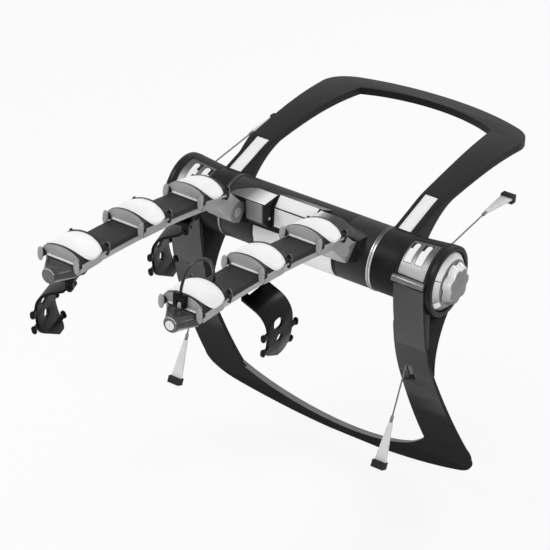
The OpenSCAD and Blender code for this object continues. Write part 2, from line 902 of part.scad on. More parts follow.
// Strap tabs beyond the edges of the plate, two to a side, each with a broad end
cage_tab_at = [[-1, 65, -62, 0], [-1, 64, -92, 10], [1, 65, -80, 3], [1, 54, -120, 20]];

module cage_tabs() {
    for (p = cage_tab_at) translate([p[1], p[0] * (cage_w / 2 + 5), p[2]]) rotate([0, p[3], 0]) {
        cube([cage_t - 1, 16, 9], center = true);
        translate([0, p[0] * 7.5, 0]) rotate([90, 0, 0]) linear_extrude(3, center = true)
            slot_shape(9, 15);
    }
}

// Knobs

module knob_base() {
    x0 = cap_x1 + seam;
    rim = 2;
    color(silver) difference() {
        union() {
            along_x(x0, x0 + rim) circle(knob_base_r);
            drum(x0 + rim, x0 + knob_base_t, knob_base_r, knob_face_r);
        }
        along_x(x0 - 1, x0 + knob_base_t + 1) circle(knob_shaft_r + run_fit);
    }
}

lobes = 7;

module knob_grip() {
    x0 = cap_x1 + seam + knob_base_t + 0.02;
    color(silver) difference() {
        intersection() {
            along_x(x0, x0 + knob_grip_t) difference() {
                circle(knob_grip_r);
                for (k = [0:lobes - 1]) rotate(k * 360 / lobes + 12) translate([knob_grip_r + 7, 0])
                    circle(13);
            }
            drum(x0 - 1, x0 + knob_grip_t + 1, knob_grip_r + 0.6, knob_end_r - 0.6);
        }
        along_x(x0 - 1, shaft_x1 + 0.5) circle(knob_shaft_r + run_fit);
    }
}

// Hook cables: the cable with its ferrule, the folded hook and its rubber tip

module upper_line(x) {
    translate([x, upper_exit[0], upper_exit[1]]) rotate([upper_dir - 90, 0, 0]) children();
}

module lower_line(x) {
    translate([x, lower_exit[0], lower_exit[1]]) rotate([lower_dir - 90, 0, 0]) children();
}

module upper_bore() {
    upper_line(upper_cable_x) translate([0, 0, -upper_tail - 9]) cylinder(r = bore_r, h = 80);
}

module lower_bore() {
    lower_line(lower_cable_x) translate([0, 0, -lower_tail - 16]) cylinder(r = bore_r, h = 60);
}

module cable(tail, free) {
    translate([0, 0, -tail]) cylinder(r = cable_r, h = tail + free + 6, $fn = 24);
    translate([0, 0, free - 4]) cylinder(r = 3.2, h = 12, $fn = 32);
}

// A flat tapered hook: narrow at the ferrule, wide at its far end with a short folded lip
lip = 7;

module hook(free, turn) {
    translate([0, 0, free + 8.1]) rotate([turn, 0, 0]) {
        rotate([90, 0, 0]) linear_extrude(hook_t, center = true)
            polygon([[-4, 0.45], [4, 0.45], [hook_w / 2, hook_len - 12], [hook_w / 2, hook_len - 2],
                [-hook_w / 2, hook_len - 2], [-hook_w / 2, hook_len - 12]]);
        translate([-hook_w / 2, 0, hook_len - 2 - hook_t]) cube([hook_w, lip + hook_t / 2, hook_t]);
    }
}

// Rubber tip wrapped round the far end of a hook, with a slot for the steel
module hook_tip(free, turn) {
    translate([0, 0, free + 8.1]) rotate([turn, 0, 0]) difference() {
        translate([-hook_w / 2 - 1, -6, hook_len - 10]) cube([hook_w + 2, 16, 14]);
        translate([-hook_w / 2 - 0.1, -hook_t / 2 - 0.1, hook_len - 20])
            cube([hook_w + 0.2, hook_t + 0.2, 18.1]);
        translate([-hook_w / 2 - 0.1, 0, hook_len - 2.1 - hook_t])
            cube([hook_w + 0.2, lip + hook_t / 2 + 0.1, hook_t + 0.2]);
    }
}

module upper_left_cable() { color(silver) upper_line(-upper_cable_x) cable(upper_tail, upper_free); }
module upper_left_hook() { color(pale) upper_line(-upper_cable_x) hook(upper_free, upper_hook_turn); }
module upper_left_tip() { color(black) upper_line(-upper_cable_x) hook_tip(upper_free, upper_hook_turn); }
module upper_right_cable() { color(silver) upper_line(upper_cable_x) cable(upper_tail, upper_free); }
module upper_right_hook() { color(pale) upper_line(upper_cable_x) hook(upper_free, upper_hook_turn); }
module upper_right_tip() { color(black) upper_line(upper_cable_x) hook_tip(upper_free, upper_hook_turn); }
module lower_left_cable() { color(silver) lower_line(-lower_cable_x) cable(lower_tail, lower_free); }
module lower_left_hook() { color(pale) lower_line(-lower_cable_x) hook(lower_free, lower_hook_turn); }
module lower_left_tip() { color(black) lower_line(-lower_cable_x) hook_tip(lower_free, lower_hook_turn); }
module lower_right_cable() { color(silver) lower_line(lower_cable_x) cable(lower_tail, lower_free); }
module lower_right_hook() { color(pale) lower_line(lower_cable_x) hook(lower_free, lower_hook_turn); }
module lower_right_tip() { color(black) lower_line(lower_cable_x) hook_tip(lower_free, lower_hook_turn); }

// Lock cable: a tube swept along its route

function unit(v) = v / norm(v);
function tangent(p, i) = unit(p[min(i + 1, len(p) - 1)] - p[max(i - 1, 0)]);

// A smooth curve through the route's points, several steps to each span
function spline(a, b, c, d, t) = 0.5 * ((2 * b) + (c - a) * t + (2 * a - 5 * b + 4 * c - d) * t * t
    + (3 * b - a - 3 * c + d) * t * t * t);
function smooth(p, steps) = [
    for (i = [0:len(p) - 2], k = [0:steps - 1])
        spline(p[max(i - 1, 0)], p[i], p[i + 1], p[min(i + 2, len(p) - 1)], k / steps),
    p[len(p) - 1]
];

module swept_tube(path, r, sides) {
    n = len(path);
    rings = [for (i = [0:n - 1])
        let (t = tangent(path, i), u = unit(cross(t, [1, 0.3, 0])), v = cross(t, u))
        for (k = [0:sides - 1]) path[i] + r * (cos(k * 360 / sides) * u + sin(k * 360 / sides) * v)];
    walls = [for (i = [0:n - 2], k = [0:sides - 1])
        let (a = i * sides + k, b = i * sides + (k + 1) % sides)
        each [[a, b + sides, b], [a, a + sides, b + sides]]];
    first = [for (k = [1:sides - 2]) [0, k, k + 1]];
    last = [for (k = [1:sides - 2]) let (o = (n - 1) * sides) [o, o + k + 1, o + k]];
    polyhedron(concat(rings), concat(walls, first, last));
}

module lock_cable() {
    color(black) swept_tube(smooth(lock_route, 3), lock_cable_r, 8);
}

// Named pieces

module left_arm_top() { arm_top(-1); }
module left_arm_channel() { arm_channel(-1); }
module left_cradle_1() { cradle(-1, 0); }
module left_cradle_2() { cradle(-1, 1); }
module left_cradle_3() { cradle(-1, 2); }
module left_liners() { liners(-1); }
module left_studs() { studs(-1); }
module left_tip_cap() { tip_cap(-1); }
module right_arm_top() { arm_top(1); }
module right_arm_channel() { arm_channel(1); }
module right_cradle_1() { cradle(1, 0); }
module right_cradle_2() { cradle(1, 1); }
module right_cradle_3() { cradle(1, 2); }
module right_liners() { liners(1); }
module right_studs() { studs(1); }
module right_tip_cap() { tip_cap(1); }
module left_cage_tip() { cage(-1, 0); }
module left_cage_hub() { cage(-1, 2); }
module right_cage_middle() { cage(1, 1); }
module left_knob_base() { mirror([1, 0, 0]) translate([-left_inset, 0, 0]) knob_base(); }
module left_knob_grip() { mirror([1, 0, 0]) translate([-left_inset, 0, 0]) knob_grip(); }
module right_knob_base() { knob_base(); }
module right_knob_grip() { knob_grip(); }

hub_core();
centre_cover();
label_plates();
hub_sleeves();
trim_rings();
end_caps();
pivot_ears();
arm_pins();
pivot_faceplates();
upper_frame();
upper_collars();
upper_leg_inserts();
upper_pads();
lower_frame();
lower_drums();
window_plates();
window_inserts();
stop_rods();
lower_pads();
cable_guides();
left_arm_top();
left_arm_channel();
left_cradle_1();
left_cradle_2();
left_cradle_3();
left_liners();
left_studs();
left_tip_cap();
left_cage_mounts();
right_arm_top();
right_arm_channel();
right_cradle_1();
right_cradle_2();
right_cradle_3();
right_liners();
right_studs();
right_tip_cap();
right_cage_mounts();
cable_clip();
lock_cable();
lock_cylinder();
left_cage_tip();
left_cage_hub();
right_cage_middle();
left_knob_base();
left_knob_grip();
right_knob_base();
right_knob_grip();
upper_left_cable();
upper_left_hook();
upper_left_tip();
upper_right_cable();
upper_right_hook();
upper_right_tip();
lower_left_cable();
lower_left_hook();
lower_left_tip();
lower_right_cable();
lower_right_hook();
lower_right_tip();
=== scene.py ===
"""Trunk mounted bike rack: the finish of its hoops, hub, arms, cradles, cages, knobs and cables, with
light and shade painted into many of their colours.
"""
import json
import math

import bmesh
import bpy
from mathutils import Matrix, Vector

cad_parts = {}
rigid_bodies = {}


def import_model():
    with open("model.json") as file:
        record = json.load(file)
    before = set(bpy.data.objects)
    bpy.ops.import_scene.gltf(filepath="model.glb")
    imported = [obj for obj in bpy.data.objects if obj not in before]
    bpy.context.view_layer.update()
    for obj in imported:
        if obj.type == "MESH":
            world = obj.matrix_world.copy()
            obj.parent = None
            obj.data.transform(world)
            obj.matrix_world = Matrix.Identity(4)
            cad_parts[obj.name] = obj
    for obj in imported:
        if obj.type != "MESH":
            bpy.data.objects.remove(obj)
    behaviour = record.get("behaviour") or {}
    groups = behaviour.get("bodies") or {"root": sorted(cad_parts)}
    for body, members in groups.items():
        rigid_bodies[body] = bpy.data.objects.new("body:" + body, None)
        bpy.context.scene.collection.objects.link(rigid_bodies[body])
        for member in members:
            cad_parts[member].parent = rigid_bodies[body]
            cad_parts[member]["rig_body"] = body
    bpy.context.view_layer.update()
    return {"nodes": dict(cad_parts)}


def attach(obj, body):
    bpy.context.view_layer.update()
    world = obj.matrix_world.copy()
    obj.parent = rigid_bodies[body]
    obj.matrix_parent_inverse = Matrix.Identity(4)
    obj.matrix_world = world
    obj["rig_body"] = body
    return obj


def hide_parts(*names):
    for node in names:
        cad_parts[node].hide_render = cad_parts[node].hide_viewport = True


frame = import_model()
nodes = frame["nodes"]
scene = bpy.context.scene
MM = 0.001

# Camera: place, view direction and lens of the photograph
CAMERA_AT = (2.0325, -3.0793, 2.3445)
CAMERA_FORWARD = (-0.47148, 0.68793, -0.55178)
CAMERA_LENS = 155.74
FLOOR_Z = -0.6


def set_camera():
    data = bpy.data.cameras.new("photo_camera")
    data.lens = CAMERA_LENS
    data.sensor_width = 36
    data.clip_end = 50
    camera = bpy.data.objects.new("photo_camera", data)
    scene.collection.objects.link(camera)
    forward = Vector(CAMERA_FORWARD).normalized()
    right = forward.cross(Vector((0, 0, 1))).normalized()
    turn = Matrix((right, right.cross(forward), -forward)).transposed().to_4x4()
    camera.matrix_world = Matrix.Translation(CAMERA_AT) @ turn
    scene.camera = camera


set_camera()


# Working with one object at a time

def only(obj):
    bpy.ops.object.select_all(action="DESELECT")
    obj.select_set(True)
    bpy.context.view_layer.objects.active = obj


def edit_all(obj):
    only(obj)
    bpy.ops.object.mode_set(mode="EDIT")
    bpy.ops.mesh.select_all(action="SELECT")


def leave_edit():
    bpy.ops.object.mode_set(mode="OBJECT")


def face_outwards(obj):
    edit_all(obj)
    bpy.ops.mesh.normals_make_consistent(inside=False)
    leave_edit()


def cut_across(obj, at, normal, **options):
    """Cuts the mesh along a plane; options may clear one side of it and fill the cut."""
    edit_all(obj)
    bpy.ops.mesh.bisect(plane_co=at, plane_no=normal, **options)
    leave_edit()


def apply_modifiers(obj):
    only(obj)
    for modifier in list(obj.modifiers):
        bpy.ops.object.modifier_apply(modifier=modifier.name)


def settle(obj):
    """Puts the object's place into its mesh."""
    only(obj)
    bpy.ops.object.transform_apply(location=True, rotation=True, scale=True)
    return obj


def round_edges(obj, width, segments=3, angle=30):
    bevel = obj.modifiers.new("rounded", "BEVEL")
    bevel.width = width
    bevel.segments = segments
    bevel.limit_method = "ANGLE"
    bevel.angle_limit = math.radians(angle)
    bevel.use_clamp_overlap = True
    bevel.miter_outer = "MITER_ARC"
    apply_modifiers(obj)


def smooth(obj, angle=35):
    only(obj)
    bpy.ops.object.shade_smooth_by_angle(angle=math.radians(angle))


def paint(obj, *materials):
    obj.data.materials.clear()
    for material in materials:
        obj.data.materials.append(material)


def paint_faces(obj, index, wanted):
    """Gives the faces for which wanted(centre, normal) is true the material at that index."""
    for face in obj.data.polygons:
        if wanted(face.center, face.normal):
            face.material_index = index


def mount(obj, body):
    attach(obj, body)
    return obj


# Materials

COAT_ROUGHNESS = 0.12
GLOSS_SPREAD = 0.06
GRADE_SHARE = 0.94
X, Y, Z = 0, 1, 2


def tone(value):
    """Linear value of a display grey from 0 to 255."""
    v = value / 255
    return v / 12.92 if v <= 0.04045 else ((v + 0.055) / 1.055) ** 2.4


def grey(value, warmth=0.0):
    v = tone(value)
    return (v * (1 + warmth), v, v * (1 - warmth), 1)


def finish(name, low, high, rough, metallic=0.0, specular=0.5, coat=0.0, patch=0.03,
           grain=0.0006, relief=0.05):
    """A surface that varies from low to high in patches, with fine grain in its relief and gloss."""
    material = bpy.data.materials.new(name)
    material.use_nodes = True
    tree = material.node_tree
    shader = tree.nodes["Principled BSDF"]
    shader.inputs["Metallic"].default_value = metallic
    shader.inputs["Specular IOR Level"].default_value = specular
    shader.inputs["Coat Weight"].default_value = coat
    shader.inputs["Coat Roughness"].default_value = COAT_ROUGHNESS
    coords = tree.nodes.new("ShaderNodeTexCoord")
    patches = tree.nodes.new("ShaderNodeTexNoise")
    patches.inputs["Scale"].default_value = 1 / patch
    patches.inputs["Detail"].default_value = 4
    tree.links.new(coords.outputs["Object"], patches.inputs["Vector"])
    ramp = tree.nodes.new("ShaderNodeValToRGB")
    ramp.color_ramp.elements[0].position = 0.3
    ramp.color_ramp.elements[0].color = low
    ramp.color_ramp.elements[1].position = 0.7
    ramp.color_ramp.elements[1].color = high
    tree.links.new(patches.outputs["Fac"], ramp.inputs["Fac"])
    tree.links.new(ramp.outputs["Color"], shader.inputs["Base Color"])
    fine = tree.nodes.new("ShaderNodeTexNoise")
    fine.inputs["Scale"].default_value = 1 / grain
    fine.inputs["Detail"].default_value = 2
    tree.links.new(coords.outputs["Object"], fine.inputs["Vector"])
    gloss = tree.nodes.new("ShaderNodeMapRange")
    gloss.inputs["To Min"].default_value = rough - GLOSS_SPREAD
    gloss.inputs["To Max"].default_value = rough + GLOSS_SPREAD
    tree.links.new(patches.outputs["Fac"], gloss.inputs["Value"])
    tree.links.new(gloss.outputs["Result"], shader.inputs["Roughness"])
    bump = tree.nodes.new("ShaderNodeBump")
    bump.inputs["Strength"].default_value = relief
    bump.inputs["Distance"].default_value = grain / 3
    tree.links.new(fine.outputs["Fac"], bump.inputs["Height"])
    tree.links.new(bump.outputs["Normal"], shader.inputs["Normal"])
    return material


def graded(material, axis, stops):
    """Lets the colour run along an axis of the rack, through (place in millimetres, grey) stops: light
    and shade painted across a part.
    """
    tree = material.node_tree
    shader = tree.nodes["Principled BSDF"]
    patches = shader.inputs["Base Color"].links[0].from_socket
    coords = next(n for n in tree.nodes if n.type == "TEX_COORD")
    split = tree.nodes.new("ShaderNodeSeparateXYZ")
    tree.links.new(coords.outputs["Object"], split.inputs[0])
    first, last = stops[0][0], stops[-1][0]
    along = tree.nodes.new("ShaderNodeMapRange")
    along.inputs["From Min"].default_value = first * MM
    along.inputs["From Max"].default_value = last * MM
    tree.links.new(split.outputs[axis], along.inputs["Value"])
    ramp = tree.nodes.new("ShaderNodeValToRGB")
    while len(ramp.color_ramp.elements) < len(stops):
        ramp.color_ramp.elements.new(0.5)
    for element, (at, value) in zip(ramp.color_ramp.elements, stops):
        element.position = (at - first) / (last - first)
        element.color = grey(value)
    tree.links.new(along.outputs["Result"], ramp.inputs["Fac"])
    mix = tree.nodes.new("ShaderNodeMix")
    mix.data_type = "RGBA"
    mix.inputs["Factor"].default_value = GRADE_SHARE
    tree.links.new(patches, mix.inputs["A"])
    tree.links.new(ramp.outputs["Color"], mix.inputs["B"])
    tree.links.new(mix.outputs["Result"], shader.inputs["Base Color"])
    return material


HOOP = finish("hoop_black", grey(24), grey(30), 0.45, specular=0.12, relief=0.1)
# The hoops' fronts painted lighter as lit, darker towards the bottom, and their sides painted darker as
# shade
LIT_HOOP_FRONT = graded(finish("hoop_front_lit", grey(76), grey(84), 0.5, specular=0.15, relief=0.1), Z,
                    [(-580, 26), (-430, 26), (-330, 34), (-240, 64), (-120, 86), (10, 82)])
SHADED_HOOP_SIDE = finish("hoop_side_shade", grey(16), grey(22), 0.45, specular=0.15, relief=0.1)
# The bottom bar's upper side painted light grey as lit, and its rounded front edge as a painted
# highlight
LIT_BAR_TOP = finish("bar_top_lit", grey(112), grey(126), 0.42, specular=0.3, relief=0.08)
BAR_EDGE_HIGHLIGHT = finish("bar_edge_highlight", grey(190), grey(205), 0.4, relief=0.05)

HUB = finish("hub_black", grey(32), grey(38), 0.42, specular=0.15, relief=0.1)
# Painted light on the hood: its top and its rear slope are lit where they face up, fading towards the
# ends
LIT_HOOD_REAR = graded(finish("hood_rear_lit", grey(90), grey(100), 0.5, specular=0.2), X,
                   [(-40, 36), (-14, 84), (10, 128), (48, 140), (89, 110)])
LIT_HOOD_TOP = graded(finish("hood_top_lit", grey(200), grey(220), 0.45, specular=0.2, relief=0.05), X,
                  [(-140, 24), (-112, 56), (-92, 110), (-72, 200),
                   (-58, 246), (48, 246), (58, 150), (76, 24)])
# The faceplates' own grey, with painted shade darkening it towards their outer ends
SHADED_BLOCK_FACE = graded(finish("block_face", grey(120), grey(140), 0.42, metallic=0.2, relief=0.08), X,
                    [(-90, 36), (-84, 112), (-62, 138), (-54, 150),
                     (-51, 60), (51, 60), (62, 138), (90, 60)])
# The sleeves' grey with a painted reflection, lighter a little below their middle
SLEEVE_REFLECTION = graded(finish("sleeve_grey_reflection", grey(60), grey(70), 0.42, specular=0.2, relief=0.1), Z,
                [(-60, 26), (-44, 42), (-26, 58), (-6, 52), (16, 38), (60, 34)])
# The trim ring in painted light and shade: lit in its middle and darker towards top and bottom, a
# shaded copy for the left ring, and its groove painted darker as shade
LIT_RING = graded(finish("ring_lit", grey(190), grey(214), 0.3, metallic=0.3, relief=0.05), Z,
                     [(-50, 60), (-34, 190), (-10, 246), (34, 246), (50, 170), (60, 60)])
SHADED_RING = finish("ring_shaded", grey(52), grey(64), 0.4, specular=0.2, relief=0.05)
SHADED_RING_GROOVE = graded(finish("ring_groove_shaded", grey(120), grey(140), 0.4, metallic=0.3, relief=0.05), Z,
                     [(-50, 50), (-30, 150), (30, 170), (48, 110), (60, 44)])
# A deep black: the end caps' own colour, and painted shade in the window beds, on the edges of the
# plates' windows and on the blocks' inner sides
BLACK_CORE = finish("hub_block_black", grey(12), grey(16), 0.4, specular=0.2)
EAR_GREY = finish("ear_grey", grey(120), grey(134), 0.42, metallic=0.2, relief=0.08)
SILVER = finish("trim_silver", grey(190), grey(214), 0.28, metallic=0.9, relief=0.05)
LABEL = finish("label_white", grey(242), grey(248), 0.5, relief=0.04)
# The plates' grey with painted shade, darker towards their tops
SHADED_PLATE = graded(finish("plate_silver_shaded", grey(150), grey(170), 0.4, metallic=0.2, relief=0.1), Z,
               [(18, 206), (34, 192), (50, 140), (60, 84), (67, 44)])
ROD = finish("rod_grey", grey(110), grey(130), 0.3, metallic=0.8, relief=0.05)
# The guides' grey with painted light, lighter in their upper part and darker at both ends
LIT_GUIDE = graded(finish("guide_grey_lit", grey(90), grey(104), 0.45, specular=0.2), Z,
               [(-240, 60), (-215, 96), (-190, 120), (-170, 70)])
RUBBER = finish("rubber_dark", grey(26), grey(34), 0.7, specular=0.3, relief=0.3)

ARM_DARK = finish("arm_dark", grey(46, 0.02), grey(52, 0.02), 0.5, specular=0.12, relief=0.1)
ARM_GREY = finish("arm_grey", grey(176), grey(190), 0.38, metallic=0.3, relief=0.08)
WALL_GREY = finish("cradle_grey", grey(158, 0.01), grey(172, 0.01), 0.42, relief=0.1)
# The saddles' lower flange painted pale as a highlight
LEDGE_HIGHLIGHT = finish("cradle_ledge_highlight", grey(222), grey(232), 0.35, relief=0.05)
RIM_DARK = finish("cradle_rim", grey(36), grey(42), 0.4, specular=0.15)
LINER = finish("liner_white", grey(238), grey(246), 0.6, specular=0.3, grain=0.0008, relief=0.2)
STUD_GREY = finish("stud_grey", grey(152), grey(168), 0.34, relief=0.08)
STUD_NECK = finish("stud_neck", grey(26), grey(34), 0.4, specular=0.3)
CAP_DARK = finish("cap_dark", grey(54), grey(62), 0.22, specular=0.3, coat=0.3, relief=0.03)
# The caps' painted light: a lighter lit nose, a highlight on the upper side of its rim and a reflection
# on the upper corners
LIT_CAP_NOSE = finish("cap_nose_lit", grey(96), grey(108), 0.3, specular=0.3, relief=0.05)
CAP_RIM_HIGHLIGHT = finish("cap_rim_highlight", grey(236), grey(242), 0.3, relief=0.03)
CAP_CORNER_REFLECTION = finish("cap_corner_reflection", grey(132), grey(146), 0.3, specular=0.3, relief=0.03)
CAGE = finish("cage_black", grey(4), grey(7), 0.3, specular=0.12, coat=0.08, relief=0.03)
LOCK = finish("lock_nickel", grey(236), grey(244), 0.3, metallic=0.2)

# The knobs' silver in painted light, lighter upwards, and their flat faces painted a darker grey as
# shade
LIT_KNOB = graded(finish("knob_silver", grey(150), grey(170), 0.3, metallic=0.1, relief=0.06), Z,
              [(-56, 60), (-40, 86), (-20, 140), (0, 204), (34, 252), (48, 232), (56, 170)])
SHADED_KNOB_FACE = finish("knob_face_shade", grey(124, 0.02), grey(134, 0.02), 0.42, metallic=0.2, relief=0.1)
KNOB_SEAM = finish("knob_seam", grey(70), grey(80), 0.5)

STEEL = finish("cable_steel", grey(96), grey(130), 0.35, metallic=0.8, patch=0.004)
JACKET = finish("cable_jacket", grey(14), grey(20), 0.3, specular=0.4, coat=0.2)
HOOK = finish("hook_pale", grey(216, 0.01), grey(230, 0.01), 0.4, relief=0.12)
# The hooks' crease painted darker, as shade in the fold
HOOK_CREASE_SHADE = finish("hook_crease_shade", grey(120, 0.01), grey(140, 0.01), 0.5, relief=0.1)


# Places on the rack, in millimetres

# An arm bows along a circle across X, and places along it are angles in degrees
ARM_X = 125
ARM_R = 2148
ARM_CENTRE = (-713.2, -1952.1)
FIRST_CRADLE = 5.05
PITCH = math.degrees(175 / ARM_R)
TIP = FIRST_CRADLE - math.degrees(33 / ARM_R)

LOCK_ROUTE = [(122, -561.1, 196), (122, -560, 208), (122, -559, 220), (124, -555, 240),
              (128, -547, 259), (134, -536, 270), (141, -523, 272), (144, -510, 263),
              (142, -498, 243), (137, -488, 219), (133, -483, 203), (131, -481, 191)]
LOCK_R = 2.6
CABLE_R = 1.6

# Each hook cable: where it leaves the rack, its angle in degrees, its free length, the hook's turn
HOOK_LINES = {
    "upper_left": ((-260, 57, 29), 2.7, 126, -9),
    "upper_right": ((260, 57, 29), 2.7, 126, -9),
    "lower_left": ((-233, -29, -186), -114.9, 107, 0),
    "lower_right": ((233, -29, -186), -114.9, 107, 0),
}


def at_arm(side, angle):
    """The frame of a place along an arm: X across it, Y along it and Z off its top."""
    a = math.radians(angle)
    y = ARM_CENTRE[0] + ARM_R * math.sin(a)
    z = ARM_CENTRE[1] + ARM_R * math.cos(a)
    turn = Matrix.Rotation(-a, 4, "X")
    return Matrix.Translation((side * ARM_X * MM, y * MM, z * MM)) @ turn


def at_cradle(side, i):
    return at_arm(side, FIRST_CRADLE + (i - 1) * PITCH)


def line_frame(line):
    """The frame of a hook cable: Z runs out along it from the point where it leaves the rack."""
    at, angle = HOOK_LINES[line][:2]
    return Matrix.Translation(Vector(at) * MM) @ Matrix.Rotation(math.radians(angle - 90), 4, "X")


def paint_local(obj, frame_of, index, wanted):
    """As paint_faces, in the frame of a place on the rack and in millimetres."""
    back = frame_of.inverted()
    turn = back.to_3x3()
    paint_faces(obj, index, lambda c, n: wanted(back @ c * 1000, turn @ n))


# Cords

def spline_point(a, b, c, d, t):
    return 0.5 * (2 * b + (c - a) * t + (2 * a - 5 * b + 4 * c - d) * t * t
                  + (3 * b - a - 3 * c + d) * t ** 3)


def smooth_route(points, steps):
    p = [Vector(q) for q in points]
    out = []
    for i in range(len(p) - 1):
        a, b, c, d = p[max(i - 1, 0)], p[i], p[i + 1], p[min(i + 2, len(p) - 1)]
        out += [spline_point(a, b, c, d, k / steps) for k in range(steps)]
    return out + [p[-1]]


def curve_piece(name, points, radius, material):
    """A round cord along points in metres."""
    data = bpy.data.curves.new(name, "CURVE")
    data.dimensions = "3D"
    data.bevel_depth = radius
    data.bevel_resolution = 4
    data.use_fill_caps = True
    spline = data.splines.new("POLY")
    spline.points.add(len(points) - 1)
    for target, point in zip(spline.points, points):
        target.co = (*point, 1)
    piece = bpy.data.objects.new(name, data)
    scene.collection.objects.link(piece)
    data.materials.append(material)
    return piece


def lock_cable():
    points = [p * MM for p in smooth_route(LOCK_ROUTE, 5)]
    piece = curve_piece("lock_cable_jacket", points, LOCK_R * MM, JACKET)
    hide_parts("lock_cable")
    mount(piece, "right_arm")


def skin(name, rings, material):
    """A closed form through rings of points in metres, for sections that no primitive has."""
    mesh = bpy.data.meshes.new(name)
    build = bmesh.new()
    loops = [[build.verts.new(point) for point in ring] for ring in rings]
    sides = len(loops[0])
    for low, high in zip(loops, loops[1:]):
        for i in range(sides):
            k = (i + 1) % sides
            build.faces.new((low[i], low[k], high[k], high[i]))
    build.faces.new(list(reversed(loops[0])))
    build.faces.new(loops[-1])
    build.to_mesh(mesh)
    build.free()
    piece = bpy.data.objects.new(name, mesh)
    scene.collection.objects.link(piece)
    paint(piece, material)
    return piece


# A strand: the step between its rings, its twist, and its outline with six wires round the seventh
RING_STEP = 0.0015
LAY_LENGTH = 0.026
STRAND_SIDES = 24
OUTER_WIRES = 6
WIRE_RELIEF = 0.1


def strand(name, length, radius, material):
    """Seven wires twisted into one strand along Z, as one tube with a lobed outline."""
    rings = []
    count = round(length / RING_STEP)
    for k in range(count + 1):
        z = length * k / count
        ring = []
        for i in range(STRAND_SIDES):
            a = 2 * math.pi * i / STRAND_SIDES
            r = radius * (1 - WIRE_RELIEF + WIRE_RELIEF * math.cos(OUTER_WIRES * a))
            b = a + 2 * math.pi * z / LAY_LENGTH
            ring.append((r * math.cos(b), r * math.sin(b), z))
        rings.append(ring)
    return skin(name, rings, material)


def turned(name, profile, material, sides=32):
    """A round piece about Z: a disc drawn out and scaled through (radius, height) points in metres."""
    radius, height = profile[0]
    bpy.ops.object.select_all(action="DESELECT")
    bpy.ops.mesh.primitive_circle_add(vertices=sides, radius=radius, fill_type="NGON",
                                      calc_uvs=False, location=(0, 0, height),
                                      rotation=(0, 0, math.radians(90)))
    piece = settle(bpy.context.active_object)
    piece.name = name
    edit_all(piece)
    for next_radius, next_height in profile[1:]:
        grow = next_radius / radius
        rise = (0, 0, next_height - height)
        bpy.ops.mesh.extrude_region_move(TRANSFORM_OT_translate={"value": rise})
        bpy.ops.transform.resize(value=(grow, grow, 1), center_override=(0, 0, 0))
        radius, height = next_radius, next_height
    leave_edit()
    face_outwards(piece)
    paint(piece, material)
    return piece


def oval_ring(z, half_w, half_h, centre_h, power, sides=48):
    """A ring across Z in millimetres: round at power 2, squarer above it."""
    ring = []
    for i in range(sides):
        a = 2 * math.pi * i / sides
        c, s = math.cos(a), math.sin(a)
        x = half_w * math.copysign(abs(c) ** (2 / power), c)
        y = centre_h + half_h * math.copysign(abs(s) ** (2 / power), s)
        ring.append((x * MM, y * MM, z * MM))
    return ring


def joined(name, pieces):
    bpy.ops.object.select_all(action="DESELECT")
    for piece in pieces:
        piece.select_set(True)
    bpy.context.view_layer.objects.active = pieces[0]
    bpy.ops.object.join()
    pieces[0].name = name
    return pieces[0]


def place(piece, frame_of):
    piece.matrix_world = frame_of @ piece.matrix_world
    return settle(piece)


def copied(source, name):
    """A copy with its own mesh."""
    piece = bpy.data.objects.new(name, source.data.copy())
    scene.collection.objects.link(piece)
    return piece


def copies(form, frames):
    """Puts a copy of a form in each frame, and takes the form itself away."""
    pieces = [place(copied(form, form.name), where) for where in frames]
    bpy.data.objects.remove(form)
    return pieces


# How much of a hook cable is inside its bore, and its ferrule as (radius, place past the free length)
TAIL = {"upper": 20, "lower": 18}
FERRULE = [(2.2, -4.2), (2.9, -3.4), (3.2, -2.6), (3.2, 2), (2.8, 2.5), (2.8, 3.5), (3.2, 4),
           (3.2, 7.4), (2.7, 8)]


def hook_cables():
    """Each hook cable from inside its bore to its ferrule, with its hook and its rubber tip."""
    for line, (at, angle, free, turn) in HOOK_LINES.items():
        where = line_frame(line)
        body = f"{line}_line"
        tail = TAIL[line.split("_")[0]]
        length = (free + tail - 4) * MM
        cable = strand(f"{line}_strand", length, CABLE_R * MM, STEEL)
        cable.matrix_world = Matrix.Translation((0, 0, -tail * MM))
        place(cable, where)
        smooth(cable, 60)
        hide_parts(f"{line}_cable")
        mount(cable, body)
        profile = [(radius * MM, (free + along) * MM) for radius, along in FERRULE]
        ferrule = turned(f"{line}_ferrule", profile, ROD)
        place(ferrule, where)
        smooth(ferrule, 30)
        mount(ferrule, body)
        hook_plate(line, where @ Matrix.Translation((0, 0, (free + 8.1) * MM))
                   @ Matrix.Rotation(math.radians(turn), 4, "X"))
        refined(f"{line}_tip", f"{line}_rubber_tip", 1.6 * MM, [RUBBER])
        path = [where @ Vector((0, 0, z * MM)) for z in range(-tail, free - 3, 4)]
        path.append(where @ Vector((0, 0, (free - 4) * MM)))


# A hook's crease: how steeply both halves rise from it and how far out; along the hook, where the rise
# is full, where it has ended and over what length it fades; and the part painted darker as shade in the
# fold, in mm
CREASE_RISE = 0.13
CREASE_REACH = 0.011
CREASE_FULL = 0.02
CREASE_END = 0.074
CREASE_FADE = 0.012
CREASE_SHADE_SPAN = (14, 74)


